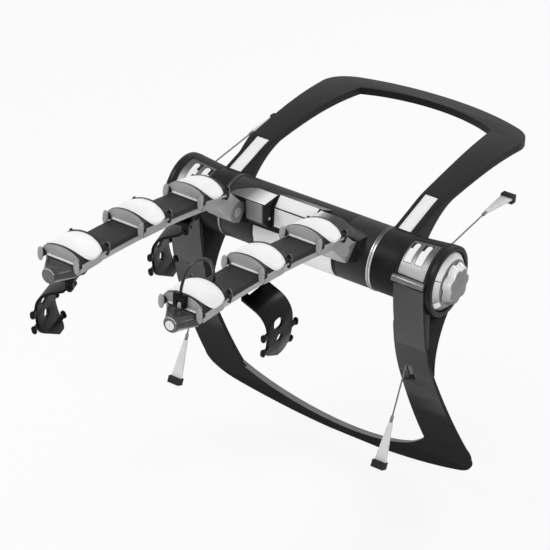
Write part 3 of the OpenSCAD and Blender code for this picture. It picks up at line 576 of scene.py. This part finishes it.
def hook_plate(line, where):
    """The folded hook: a crease runs down its middle, from which both halves rise a little."""
    plate = refined(f"{line}_hook", f"{line}_hook_plate", 0.8 * MM, [HOOK, HOOK_CREASE_SHADE])
    back = where.inverted()
    cut_across(plate, where.translation, where.to_3x3() @ Vector((1, 0, 0)))
    for vertex in plate.data.vertices:
        local = back @ vertex.co
        rise = CREASE_RISE * min(abs(local.x), CREASE_REACH) * min(1, max(0, local.z / CREASE_FULL))
        rise *= min(1, max(0, (CREASE_END - local.z) / CREASE_FADE))
        vertex.co = where @ (local + Vector((0, rise, 0)))
    smooth(plate, 30)
    # The crease painted darker, as shade in the fold
    paint_local(plate, where, 1,
                lambda c, n: abs(c.x) < 0.5 and CREASE_SHADE_SPAN[0] < c.z < CREASE_SHADE_SPAN[1])


# The CAD solids with rounded edges and their finish

def open_seam(piece, axis, at):
    """Takes out the two flat faces on which a solid and its neighbour meet."""
    edit_all(piece)
    bpy.ops.mesh.select_mode(type="FACE")
    bpy.ops.mesh.select_all(action="DESELECT")
    leave_edit()
    for face in piece.data.polygons:
        face.select = abs(face.center[axis] - at) < 0.00005 and abs(face.normal[axis]) > 0.99
    bpy.ops.object.mode_set(mode="EDIT")
    bpy.ops.mesh.delete(type="FACE")
    leave_edit()


def refined(node, name, width, materials, segments=3, other=None, seam=None, cut=None):
    """A copy of a CAD solid with its triangles merged into faces and its edges rounded.

    A second node may be joined to it at a seam, and cut(piece) may shape it before the rounding.
    """
    piece = copied(nodes[node], name)
    if other:
        second = copied(nodes[other], name + "_root")
        bpy.ops.object.select_all(action="DESELECT")
        second.select_set(True)
        piece.select_set(True)
        bpy.context.view_layer.objects.active = piece
        bpy.ops.object.join()
        open_seam(piece, *seam)
    edit_all(piece)
    bpy.ops.mesh.remove_doubles(threshold=0.00004 if other else 0.00002)
    bpy.ops.mesh.dissolve_limited(angle_limit=math.radians(0.4))
    leave_edit()
    if cut:
        cut(piece)
    round_edges(piece, width, segments)
    smooth(piece)
    paint(piece, *materials)
    for face in piece.data.polygons:
        face.material_index = 0
    body = nodes[node]["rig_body"]
    replaced = [node, other] if other else [node]
    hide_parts(*replaced)
    return mount(piece, body)


# The left leg's root is wider on its inner side: it draws in between these two heights
ROOT_TOP = -0.09
ROOT_FOOT = -0.206
ROOT_EXTRA = 0.0084
ROOT_INNER = (-0.2092, -0.204)
ROOT_END = -0.22


def root_shift(z):
    """How far the root's inner side has drawn in at a height."""
    return -ROOT_EXTRA * min(1, max(0, (ROOT_TOP - z) / (ROOT_TOP - ROOT_FOOT)))


def root_cut(piece):
    """Tapers the left leg's root, so that its inner side runs into the leg without a step."""
    cut_across(piece, (0, 0, ROOT_TOP), (0, 0, 1))
    for vertex in piece.data.vertices:
        if ROOT_INNER[0] < vertex.co.x < ROOT_INNER[1] and vertex.co.z > ROOT_END:
            vertex.co.x += root_shift(vertex.co.z)


def hoops():
    refined("upper_frame", "upper_hoop_shell", 3 * MM, [HOOP], 4, other="upper_collars",
            seam=(Y, 0.068))
    lower = refined("lower_frame", "lower_hoop_shell", 2.5 * MM,
                    [HOOP, LIT_HOOP_FRONT, LIT_BAR_TOP, SHADED_HOOP_SIDE, BAR_EDGE_HIGHLIGHT], 4, other="lower_drums",
                    seam=(Z, -0.068), cut=root_cut)
    # The legs' fronts, painted lighter as lit and darker towards the bottom, and the right leg's outer
    # side, painted darker as shade
    paint_faces(lower, 1, lambda c, n: n.y < -0.75 and c.z < -0.06 and abs(c.x) > 0.2)
    paint_faces(lower, 3, lambda c, n: n.x > 0.5 and c.x > 0 and c.z < -0.07)
    # The bottom bar's upper side, painted lighter as lit, and a painted highlight on its rounded edge
    # in front
    paint_faces(lower, 2, lambda c, n: n.z > 0.4 and n.y < 0.25 and c.z < -0.44 and abs(c.x) < 0.24)
    paint_faces(lower, 4, lambda c, n: -0.5 < n.z < 0.97 and n.y < -0.2 and c.z < -0.44
                and math.hypot(n.y + 0.8, n.z + 0.6) > 0.3 and abs(c.x) < 0.23)


# A ring's outline as (place along the hub, radius), with a groove round its middle
RING_PROFILE = [(0, 58.5), (0.1, 60.2), (0.5, 60.9), (2.2, 60.9), (2.7, 60.2), (5.3, 60.2),
                (5.8, 60.9), (7.5, 60.9), (7.9, 60.2), (8, 58.5)]
RING_X = 159.3


def trim_rings():
    """The ring beside each of the hub's sleeves, in painted light: shaded on the left, and on the right
    lit in its middle and darker towards top and bottom.
    """
    profile = [(radius * MM, along * MM) for along, radius in RING_PROFILE]
    form = turned("trim_ring", profile, LIT_RING, 128)
    form.data.materials.append(SHADED_RING_GROOVE)
    # The groove painted darker, as shade
    paint_faces(form, 1, lambda c, n: 0.0023 < c.z < 0.0057 and math.hypot(c.x, c.y) < 0.0606)
    frames = [Matrix.Translation((RING_X * side * MM, 0, 0))
              @ Matrix.Rotation(math.radians(90 * side), 4, "Y") for side in (-1, 1)]
    left, right = copies(form, frames)
    left.name = "trim_ring_left"
    # The left ring painted in shade
    left.data.materials[0] = SHADED_RING
    right.name = "trim_ring_right"
    for ring in (left, right):
        smooth(ring, 40)
        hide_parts("trim_rings")
        mount(ring, "hub")


LABEL_HALF = 0.0855
LABEL_ENDS = 0.08


def label_cut(piece):
    """Draws the label in from the housing's ends, so that the black housing frames it."""
    for vertex in piece.data.vertices:
        if abs(vertex.co.x) > LABEL_ENDS:
            vertex.co.x = math.copysign(LABEL_HALF, vertex.co.x)


# Sections of a hood wing: place along the hub, then (Y, Z) of its top's rear and front edge
WING = [(88.8, (-36, 80), (-78, 80)), (100, (-40, 79.2), (-76, 78.4)), (112, (-45, 77), (-73, 76)),
        (124, (-50, 73.4), (-69.5, 73)), (134, (-53, 68), (-64, 67.8)), (141, (-52, 60), (-57, 59.8))]


def hood_wings():
    """The hood runs on from each block over the arm's root and falls to the sleeve."""
    wings = []
    for side in (-1, 1):
        rings = []
        for x, rear, front in WING:
            lip = (front[0] + 0.4, front[1] - 2.5)
            under = (front[0] + 4, front[1] - 7)
            brow = (rear[0] + 2, rear[1] - 1.5)
            profile = [(-14, 52), brow, rear, front, lip, under, (-50, 33), (-30, 34)]
            rings.append([(side * x * MM, y * MM, z * MM) for y, z in profile])
        wings.append(skin("wing", rings, LIT_HOOD_TOP))
    wing = joined("hood_wing_pair", wings)
    paint(wing, LIT_HOOD_TOP, HUB)
    face_outwards(wing)
    # Faces turned down keep the hub's black; the wing's top is painted white as lit, like the hood's
    # top
    paint_faces(wing, 1, lambda c, n: n.z < 0.55)
    round_edges(wing, 1 * MM, 3, 25)
    smooth(wing, 40)
    mount(wing, "hub")


# The plane between an ear's dark root and its pale end round the pivot
EAR_LINE_AT = Vector((0, -0.078, 0.04))
EAR_LINE_NORMAL = Vector((0, 0.7, -0.7))


def ear_cut(piece):
    cut_across(piece, EAR_LINE_AT, EAR_LINE_NORMAL)


# The buttons on the pivot pins: the pins' (Y, Z), each button's place along the hub with the way that
# it faces, and its outline as (radius, height)
PIVOT_AT = (-92, 54)
PIN_ENDS = [(-138, -1), (-97, 1), (97, -1), (138, 1)]
BUTTON = [(6.9, -1), (6.9, 0.1), (9.2, 0.1), (9.2, 0.6), (8.6, 1.2), (6, 1.4)]


def pivot_buttons():
    """A flat button over each end of both pivot pins."""
    form = turned("button", [(radius * MM, along * MM) for radius, along in BUTTON], ARM_GREY, 40)
    frames = [Matrix.Translation((x * MM, PIVOT_AT[0] * MM, PIVOT_AT[1] * MM))
              @ Matrix.Rotation(math.radians(90 * side), 4, "Y") for x, side in PIN_ENDS]
    for i, button in enumerate(copies(form, frames)):
        button.name = f"pivot_button_{i + 1}"
        smooth(button, 40)
        mount(button, "hub")


def hub():
    housing = refined("centre_cover", "hub_housing", 1.6 * MM,
                      [HUB, LIT_HOOD_TOP, LIT_HOOD_REAR, BLACK_CORE])
    # The hood's top over both blocks, painted white as lit and fading towards its ends; its slope
    # behind the label, painted grey as lit where it faces up; and the blocks' inner sides, painted a
    # deeper black as shade
    paint_faces(housing, 1, lambda c, n: n.z > 0.6 and c.z > 0.0775 and abs(c.x) > 0.047)
    paint_faces(housing, 2, lambda c, n: n.y > 0.2 and n.z > 0.4 and c.y > -0.033
                and abs(c.x) < 0.0485 and math.hypot(c.y, c.z) > 0.0605)
    paint_faces(housing, 3, lambda c, n: abs(n.x) > 0.7 and c.y < -0.03 and c.z > 0)
    hood_wings()
    # The sleeves carry a painted reflection, lighter a little below their middle
    refined("hub_sleeves", "hub_sleeve_pair", 0.8 * MM, [SLEEVE_REFLECTION])
    trim_rings()
    refined("end_caps", "hub_end_pair", 1.5 * MM, [BLACK_CORE])
    refined("label_plates", "label_shells", 0.3 * MM, [LABEL], cut=label_cut)
    # The blocks' faces keep their grey with painted shade at the outer ends, and are silver between the
    # blocks
    faces = refined("pivot_faceplates", "block_faces", 0.6 * MM, [SHADED_BLOCK_FACE, SILVER])
    paint_faces(faces, 1, lambda c, n: abs(c.x) < 0.0495)
    ears = refined("pivot_ears", "pivot_ear_set", 1.2 * MM, [HUB, EAR_GREY], cut=ear_cut)
    paint_faces(ears, 1, lambda c, n: (c - EAR_LINE_AT).dot(EAR_LINE_NORMAL) < 0)
    pivot_buttons()


# The drums at the hub's ends: a cone of two radii, and the windows' places on the right one.
# The left drum is the right one's mirror image in a plane just right of the middle.
WINDOWS = [(224.5, 240.5), (248.5, 264.5)]
DRUM_X = (217.9, 285.9)
DRUM_R = (60, 66.5)
DRUM_MEAN = 62
MIRROR_X = 0.006

# What lies behind a window: where its sides are from the window's, its angles, its depth below the
# drum, its thickness and the radius of its upper corners
# The black bed shows beside the tab, in the window's upper end, as a painted shadow
SHADOW_BED = ((1.15, 0.85), (92.3, 135.8), 2.6, 1.2, 0)
LIGHT = ((1.7, 0.6), (108, 135.2), 1.5, 1, 0)
TAB = ((6.4, 0.6), (93, 108.5), 1.5, 1, 5)
PATCH_STEPS = 16


def drum_radius(x):
    return DRUM_R[0] + (DRUM_R[1] - DRUM_R[0]) * (x - DRUM_X[0]) / (DRUM_X[1] - DRUM_X[0])


def drum_patch(name, window, form, material):
    """A curved patch under a window between two angles, with two round corners at its upper end."""
    offsets, angles, depth, thick, corner = form
    x = (window[0] + offsets[0], window[1] + offsets[1])
    rings = []
    for k in range(PATCH_STEPS + 1):
        angle = angles[0] + (angles[1] - angles[0]) * k / PATCH_STEPS
        a = math.radians(angle)
        down = (a - math.radians(angles[0])) * DRUM_MEAN
        inset = 0
        if down < corner:
            inset = corner - math.sqrt(max(0, corner ** 2 - (corner - down) ** 2))
        ring = []
        for at_x, level in ((x[0] + inset, 0), (x[0] + inset, 1), (x[1] - inset, 1), (x[1] - inset, 0)):
            r = drum_radius(at_x) - depth - thick + thick * level
            ring.append((at_x * MM, r * math.cos(a) * MM, r * math.sin(a) * MM))
        rings.append(ring)
    patch = skin(name, rings, material)
    face_outwards(patch)
    return patch


def window_lights():
    """Behind each window: a black bed, which shows in its upper end as a painted shadow, the white
    light, and a white tab beside its upper end.
    """
    for side, sign in (("left", -1), ("right", 1)):
        lights = []
        beds = []
        for window in WINDOWS:
            beds.append(drum_patch("bed", window, SHADOW_BED, BLACK_CORE))
            lights.append(drum_patch("light", window, LIGHT, LABEL))
            lights.append(drum_patch("tab", window, TAB, LABEL))
        for name, group, material in (("lights", lights, LABEL), ("beds", beds, BLACK_CORE)):
            piece = joined(f"{side}_window_{name}", group)
            if sign < 0:
                for vertex in piece.data.vertices:
                    vertex.co.x = 2 * MIRROR_X - vertex.co.x
                face_outwards(piece)
            paint(piece, material)
            smooth(piece, 30)
            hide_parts("window_inserts")
            mount(piece, nodes["window_inserts"]["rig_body"])


# An apron's outline from the rod down to the leg and back, as (Y, Z). Its outer end stands forward
# over the drum's cone, and its foot draws in to the leg's side. The aprons' ends are (outer, inner).
APRON = [(-61.8, 8), (-61.6, -25), (-59.5, -55), (-55.5, -85), (-51, -110), (-46.5, -130), (-43, -137),
         (-36, -137), (-36, -30), (-50, 8)]
APRON_LEFT = (-273.6, -206.3)
APRON_RIGHT = (285.6, 218.3)
APRON_TOP = 8
APRON_FOOT = -137
APRON_FLARE = 7
APRON_EXTRA = 0.0029


def apron_shift(z):
    """How far the right apron's outer side has drawn in at a height."""
    return -APRON_EXTRA * min(1, max(0, (-60 - z) / 70))


def aprons():
    """The plane front of each leg's root, from the rod in front of the drum down to the leg."""
    pieces = []
    for outer, inner in (APRON_LEFT, APRON_RIGHT):
        rings = []
        for x in sorted((outer, inner)):
            ring = []
            for y, z in APRON:
                forward = 0
                if x == outer:
                    forward = APRON_FLARE * (z - APRON_FOOT) / (APRON_TOP - APRON_FOOT)
                drawn_in = 0
                if x == APRON_LEFT[1]:
                    drawn_in = root_shift(z * MM)
                if x == APRON_RIGHT[0]:
                    drawn_in = apron_shift(z)
                ring.append((x * MM + drawn_in, (y - forward) * MM, z * MM))
            rings.append(ring)
        pieces.append(skin("apron", rings, LIT_HOOP_FRONT))
    apron = joined("leg_apron_pair", pieces)
    face_outwards(apron)
    round_edges(apron, 1.5 * MM, 3, 40)
    # The aprons' fronts painted lit like the legs' fronts, and their sides painted darker as shade
    paint(apron, LIT_HOOP_FRONT, SHADED_HOOP_SIDE)
    paint_faces(apron, 1, lambda c, n: abs(n.x) > 0.6)
    smooth(apron, 40)
    mount(apron, nodes["lower_drums"]["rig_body"])


# The curve along which the bottom bar runs, as its radius and the height of its centre
BAR_R = 650
BAR_Z = 69
PAD_FREE = 12
PAD_DRAW = 0.55


def pad_cut(piece):
    """Draws the pads in from the bar's inner edge, so that the bar hides them from above."""
    for vertex in piece.data.vertices:
        x, z = vertex.co.x / MM, vertex.co.z / MM
        over = z - (BAR_Z - math.sqrt(BAR_R ** 2 - x * x)) - PAD_FREE
        if over > 0:
            vertex.co.z -= over * PAD_DRAW * MM


def drums():
    aprons()
    plates = refined("window_plates", "window_plate_pair", 0.5 * MM, [SHADED_PLATE, BLACK_CORE])
    # The edges of the plates' windows, painted black as shade: they face along the hub or round it
    paint_faces(plates, 1, lambda c, n: abs(n.x) > 0.75 or abs(n.y * c.z - n.z * c.y) > 0.048)
    window_lights()
    refined("stop_rods", "stop_rod_pair", 1.5 * MM, [ROD])
    refined("upper_leg_inserts", "leg_insert_pair", 0.6 * MM, [LABEL])
    # The cable guides carry painted light, lighter in their upper part
    refined("cable_guides", "cable_guide_pair", 0.3 * MM, [LIT_GUIDE])
    refined("upper_pads", "upper_pad_pair", 2 * MM, [RUBBER])
    refined("lower_pads", "lower_pad_pair", 2 * MM, [RUBBER], cut=pad_cut)


# The cuts that round a saddle's shoulder: a point (X, Z) and the way (X, Z) that the cut faces
SHOULDER = [((33, 17.5), (0.5, 0.87)), ((39, 12), (0.87, 0.5)), ((43, 0), (1, 0))]


def round_shoulders(where):
    """Gives a saddle's walls round shoulders above the studs."""
    def cut(piece):
        for side in (-1, 1):
            for (x, z), (nx, nz) in SHOULDER:
                cut_across(piece, where @ Vector((side * x * MM, 0, z * MM)),
                           where.to_3x3() @ Vector((side * nx, 0, nz)), use_fill=True, clear_outer=True)
    return cut


def rounded_block(name, size, width):
    """A block with rounded edges; its size and the rounding are in millimetres."""
    bpy.ops.object.select_all(action="DESELECT")
    bpy.ops.mesh.primitive_cube_add(size=1)
    block = bpy.context.active_object
    block.name = name
    block.scale = [length * MM for length in size]
    settle(block)
    round_edges(block, width * MM, 4)
    return block


LEDGE_SIZE = (56, 3, 3.6)
LEDGE_ROUND = 1.3
LEDGE_Y = 34.8
LEDGE_Z = 2.6


def ledges(name, where):
    """The bar along the foot of each of a saddle's walls, painted pale as a highlight."""
    frames = [where @ Matrix.Translation((0, y * MM, LEDGE_Z * MM)) for y in (-LEDGE_Y, LEDGE_Y)]
    bar = joined(name, copies(rounded_block("ledge", LEDGE_SIZE, LEDGE_ROUND), frames))
    paint(bar, LEDGE_HIGHLIGHT)
    smooth(bar, 40)
    return bar


# A stud: its place across the arm, on the wall and above the arm, then outwards from the wall its neck
# as (radius, height) and its head as (height, share of its half size)
STUD_AT = (38, -34, 3.5)
NECK = [(6.8, 0.05), (7.3, 0.6), (7.3, 1.6), (6.4, 1.9), (6.4, 2.5), (7.1, 2.8), (7.1, 5.8)]
HEAD = [(5.8, 0.84), (6.1, 0.95), (6.8, 1), (7.9, 0.99), (8.6, 0.92), (9, 0.8), (9.2, 0.6)]
HEAD_HALF = (5.8, 13)
STUD_SIDES = 28


def stud_frames(sign):
    """The frames of an arm's studs: Z points outwards from the wall and Y up along it."""
    frames = []
    for i in (1, 2, 3):
        for x in (-STUD_AT[0], STUD_AT[0]):
            for end in (0, 180):
                frames.append(at_cradle(sign, i) @ Matrix.Rotation(math.radians(end), 4, "Z")
                              @ Matrix.Translation((x * MM, STUD_AT[1] * MM, STUD_AT[2] * MM))
                              @ Matrix.Rotation(math.radians(90), 4, "X"))
    return frames


def studs(side, sign):
    """The strap studs of an arm: black necks out of the walls, then upright oval heads."""
    neck_form = turned("neck", [(r * MM, z * MM) for r, z in NECK], STUD_NECK, STUD_SIDES)
    rings = [oval_ring(z, HEAD_HALF[0] * k, HEAD_HALF[1] * k + 0.2, 0, 2.2, STUD_SIDES)
             for z, k in HEAD]
    head_form = skin("head", rings, STUD_GREY)
    neck = joined(f"{side}_stud_necks", copies(neck_form, stud_frames(sign)))
    head = joined(f"{side}_stud_heads", copies(head_form, stud_frames(sign)))
    head.data.materials.append(STUD_NECK)
    # The heads' backs, toward the wall, painted black as shade
    for i in (1, 2, 3):
        paint_local(head, at_cradle(sign, i), 1, lambda c, n: abs(c.y) < 41 and abs(c.x) < 60)
    smooth(neck, 40)
    smooth(head, 50)
    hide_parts(f"{side}_studs")
    mount(neck, f"{side}_arm")
    mount(head, f"{side}_arm")


# Sections of a tip cap from its nose to the arm: depth, half width, half height, middle, squareness
TIP_STATIONS = [(33.4, 14.4, 14.2, -15, 2), (31, 15, 14.4, -14.9, 2.05), (26, 17.4, 14.2, -14.6, 2.3),
                (19, 21.4, 13.8, -14.2, 2.7), (11, 26.2, 13.4, -13.7, 3.3), (4, 30.4, 13.1, -13.3, 3.8),
                (0.4, 32.4, 13, -13.2, 4)]
TIP_NOSE = [(35.2, 12.9, 12.9, -15, 2), (35.1, 13.2, 13.2, -15, 2), (34.6, 13.8, 13.7, -15, 2)]
TIP_BORE = [(18, 8.2, 8.2, -15, 2), (35.2, 8.2, 8.2, -15, 2)]


def tip_shell(side, sign):
    """The tapered cap with its round nose; the right one is bored for the lock barrel."""
    bore = TIP_BORE if sign > 0 else []
    rings = [oval_ring(*station) for station in bore + TIP_NOSE + TIP_STATIONS]
    shell = skin(f"{side}_tip_shell", rings, CAP_DARK)
    # The nose's flat end, painted lighter as lit, a painted highlight on the upper side of its rim, and
    # a painted reflection on the upper corners
    paint(shell, CAP_DARK, LIT_CAP_NOSE, CAP_RIM_HIGHLIGHT, CAP_CORNER_REFLECTION)
    for face in shell.data.polygons:
        depth = face.center.z / MM
        if depth > 34.9 and abs(face.normal.z) > 0.9:
            face.material_index = 1
        elif depth > 34.5 and face.center.y > -0.009 and face.center.x > -0.008:
            face.material_index = 2
        elif depth < 34 and abs(face.center.x) > 0.008 and 0.25 < face.normal.y < 0.9:
            face.material_index = 3
    face_outwards(shell)
    place(shell, at_arm(sign, TIP) @ Matrix.Rotation(math.radians(90), 4, "X"))
    smooth(shell, 50)
    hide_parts(f"{side}_tip_cap")
    mount(shell, f"{side}_arm")


LATCH_AT = (-3, -39, 7.4)
LATCH_SIZE = (7, 5, 11)


def latch():
    """The pale latch between the legs of the cable clip."""
    where = at_cradle(1, 1) @ Matrix.Translation(Vector(LATCH_AT) * MM)
    piece = place(rounded_block("cable_latch", LATCH_SIZE, 2), where)
    smooth(piece, 40)
    paint(piece, STUD_GREY)
    mount(piece, "right_arm")


def arms():
    for side, sign in (("left", -1), ("right", 1)):
        refined(f"{side}_arm_top", f"{side}_arm_cover", 1.6 * MM, [ARM_DARK])
        refined(f"{side}_arm_channel", f"{side}_arm_beam", 1.2 * MM, [ARM_GREY])
        for i in (1, 2, 3):
            where = at_cradle(sign, i)
            saddle = refined(f"{side}_cradle_{i}", f"{side}_saddle_{i}", 1.4 * MM,
                             [WALL_GREY, RIM_DARK], cut=round_shoulders(where))
            paint_local(saddle, where, 1, lambda c, n: c.z > 2 and n.z > 0.35)
            bars = ledges(f"{side}_ledges_{i}", where)
            mount(bars, f"{side}_arm")
        refined(f"{side}_liners", f"{side}_liner_set", 1.6 * MM, [LINER], 4)
        studs(side, sign)
        tip_shell(side, sign)
        refined(f"{side}_cage_mounts", f"{side}_cage_mount_set", 1 * MM, [CAGE])
    refined("cable_clip", "cable_clip_shell", 0.8 * MM, [CAGE])
    latch()
    refined("lock_cylinder", "lock_barrel_shell", 0.5 * MM, [LOCK])
    for node in ("left_cage_tip", "left_cage_hub", "right_cage_middle"):
        refined(node, node + "_shell", 1.2 * MM, [CAGE])


# A grip's outline as (place along the hub from its seat, radius): its bore, then its outside
GRIP = [(13, 9.4), (0.1, 9.4), (0.1, 36.5), (0.8, 37), (1.2, 40), (1.8, 41), (3, 40.8), (12, 36),
        (14, 34.6), (14.7, 33.4), (15, 32)]
GRIP_SIDES = 98
BORE_R = 20
LOBES = 7
LOBE_TURN = math.radians(12)
HOLLOW_DEPTH = 0.15
HOLLOW_POWER = 1.6


def press_hollows(grip):
    """Leaves seven round lobes on the grip's outside, with a hollow between each two."""
    for vertex in grip.data.vertices:
        if math.hypot(vertex.co.x, vertex.co.y) > BORE_R * MM:
            a = math.atan2(vertex.co.y, vertex.co.x)
            hollow = (0.5 + 0.5 * math.cos(LOBES * (a - LOBE_TURN))) ** HOLLOW_POWER
            vertex.co.x *= 1 - HOLLOW_DEPTH * hollow
            vertex.co.y *= 1 - HOLLOW_DEPTH * hollow


# The angles about the hub between which a knob's ring has its seam and its notch; the notch is painted
# white as a highlight
KNOB_MARKS = [(149, 151), (203, 222)]
KNOB_SEAT = {"left": -291.5, "right": 303.5}


def knob_cuts(piece):
    """Cuts the knob's ring along the edges of its seam and of its notch."""
    for marks in KNOB_MARKS:
        for angle in marks:
            a = math.radians(angle)
            cut_across(piece, (0, 0, 0), (0, -math.sin(a), math.cos(a)))


def knobs():
    form = turned("grip", [(r * MM, x * MM) for x, r in GRIP], LIT_KNOB, GRIP_SIDES)
    press_hollows(form)
    form.data.materials.append(SHADED_KNOB_FACE)
    # The grip's flat end painted a darker grey as shade
    paint_faces(form, 1, lambda c, n: c.z > 0.0149)
    for side, x in KNOB_SEAT.items():
        base = refined(f"{side}_knob_base", f"{side}_knob_ring", 1.2 * MM,
                       [LIT_KNOB, SHADED_KNOB_FACE, KNOB_SEAM, LABEL], 4, cut=knob_cuts)
        # The ring's flat faces painted darker as shade, its seam dark, and its notch white as a painted
        # highlight
        paint_faces(base, 1, lambda c, n: abs(n.x) > 0.95)
        for (low, high), index in zip(KNOB_MARKS, (2, 3)):
            paint_faces(base, index, lambda c, n: abs(n.x) < 0.95 and math.hypot(c.y, c.z) > 0.0455
                        and low < math.degrees(math.atan2(c.z, c.y)) % 360 < high)
        outwards = Matrix.Rotation(math.copysign(math.radians(90), x), 4, "Y")
        grip = place(copied(form, f"{side}_knob_lobes"), Matrix.Translation((x * MM, 0, 0)) @ outwards)
        smooth(grip, 40)
        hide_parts(f"{side}_knob_grip")
        mount(grip, nodes[f"{side}_knob_grip"]["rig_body"])
    bpy.data.objects.remove(form)


# The whole rack

lock_cable()
hook_cables()
hoops()
hub()
drums()
arms()
knobs()
paint(nodes["hub_core"], SILVER)
paint(nodes["arm_pins"], SILVER)


# Light, floor and background

# Each lamp: where it is, what it looks at, its size and its power
LAMPS = {
    "key": ((-1.4, -1.6, 2.6), (0, -0.1, 0), 1.4, 40),
    "fill": ((2.6, -1.8, 1.2), (0, 0, 0), 1.6, 22),
    "rim": ((0.6, 2.6, 1.8), (0, 0, 0), 1.4, 18),
}
# The background gives less light than its white shows to the camera and in reflections, and the floor
# glows for the camera, so that it runs into the background
WORLD_LIGHT = 0.5
WORLD_SEEN = 1.0
FLOOR_SIZE = 80
FLOOR_GLOW = 0.85


def area_light(name, at, towards, size, power):
    data = bpy.data.lights.new(name, "AREA")
    data.shape = "DISK"
    data.size = size
    data.energy = power
    lamp = bpy.data.objects.new(name, data)
    scene.collection.objects.link(lamp)
    lamp.location = at
    lamp.rotation_euler = (Vector(towards) - Vector(at)).to_track_quat("-Z", "Y").to_euler()


def studio():
    world = bpy.data.worlds.new("studio")
    scene.world = world
    world.use_nodes = True
    tree = world.node_tree
    back = tree.nodes["Background"]
    path = tree.nodes.new("ShaderNodeLightPath")
    seen = tree.nodes.new("ShaderNodeMath")
    seen.operation = "MAXIMUM"
    tree.links.new(path.outputs["Is Camera Ray"], seen.inputs[0])
    tree.links.new(path.outputs["Is Glossy Ray"], seen.inputs[1])
    strength = tree.nodes.new("ShaderNodeMapRange")
    strength.inputs["To Min"].default_value = WORLD_LIGHT
    strength.inputs["To Max"].default_value = WORLD_SEEN
    tree.links.new(seen.outputs[0], strength.inputs["Value"])
    tree.links.new(strength.outputs["Result"], back.inputs["Strength"])
    back.inputs["Color"].default_value = (1, 1, 1, 1)
    for name, lamp in LAMPS.items():
        area_light(name, *lamp)


def floor():
    bpy.ops.object.select_all(action="DESELECT")
    bpy.ops.mesh.primitive_plane_add(size=FLOOR_SIZE, location=(0, 0, FLOOR_Z))
    plane = bpy.context.active_object
    plane.name = "studio_floor"
    settle(plane)
    material = bpy.data.materials.new("studio_floor")
    material.use_nodes = True
    tree = material.node_tree
    shader = tree.nodes["Principled BSDF"]
    shader.inputs["Base Color"].default_value = (0.95, 0.95, 0.95, 1)
    shader.inputs["Roughness"].default_value = 0.9
    shader.inputs["Specular IOR Level"].default_value = 0.0
    path = tree.nodes.new("ShaderNodeLightPath")
    seen = tree.nodes.new("ShaderNodeMath")
    seen.operation = "MULTIPLY"
    seen.inputs[1].default_value = FLOOR_GLOW
    tree.links.new(path.outputs["Is Camera Ray"], seen.inputs[0])
    glow = tree.nodes.new("ShaderNodeEmission")
    mix = tree.nodes.new("ShaderNodeMixShader")
    tree.links.new(seen.outputs[0], mix.inputs["Fac"])
    tree.links.new(shader.outputs[0], mix.inputs[1])
    tree.links.new(glow.outputs[0], mix.inputs[2])
    tree.links.new(mix.outputs[0], tree.nodes["Material Output"].inputs["Surface"])
    paint(plane, material)


studio()
floor()
scene.view_settings.view_transform = "Standard"
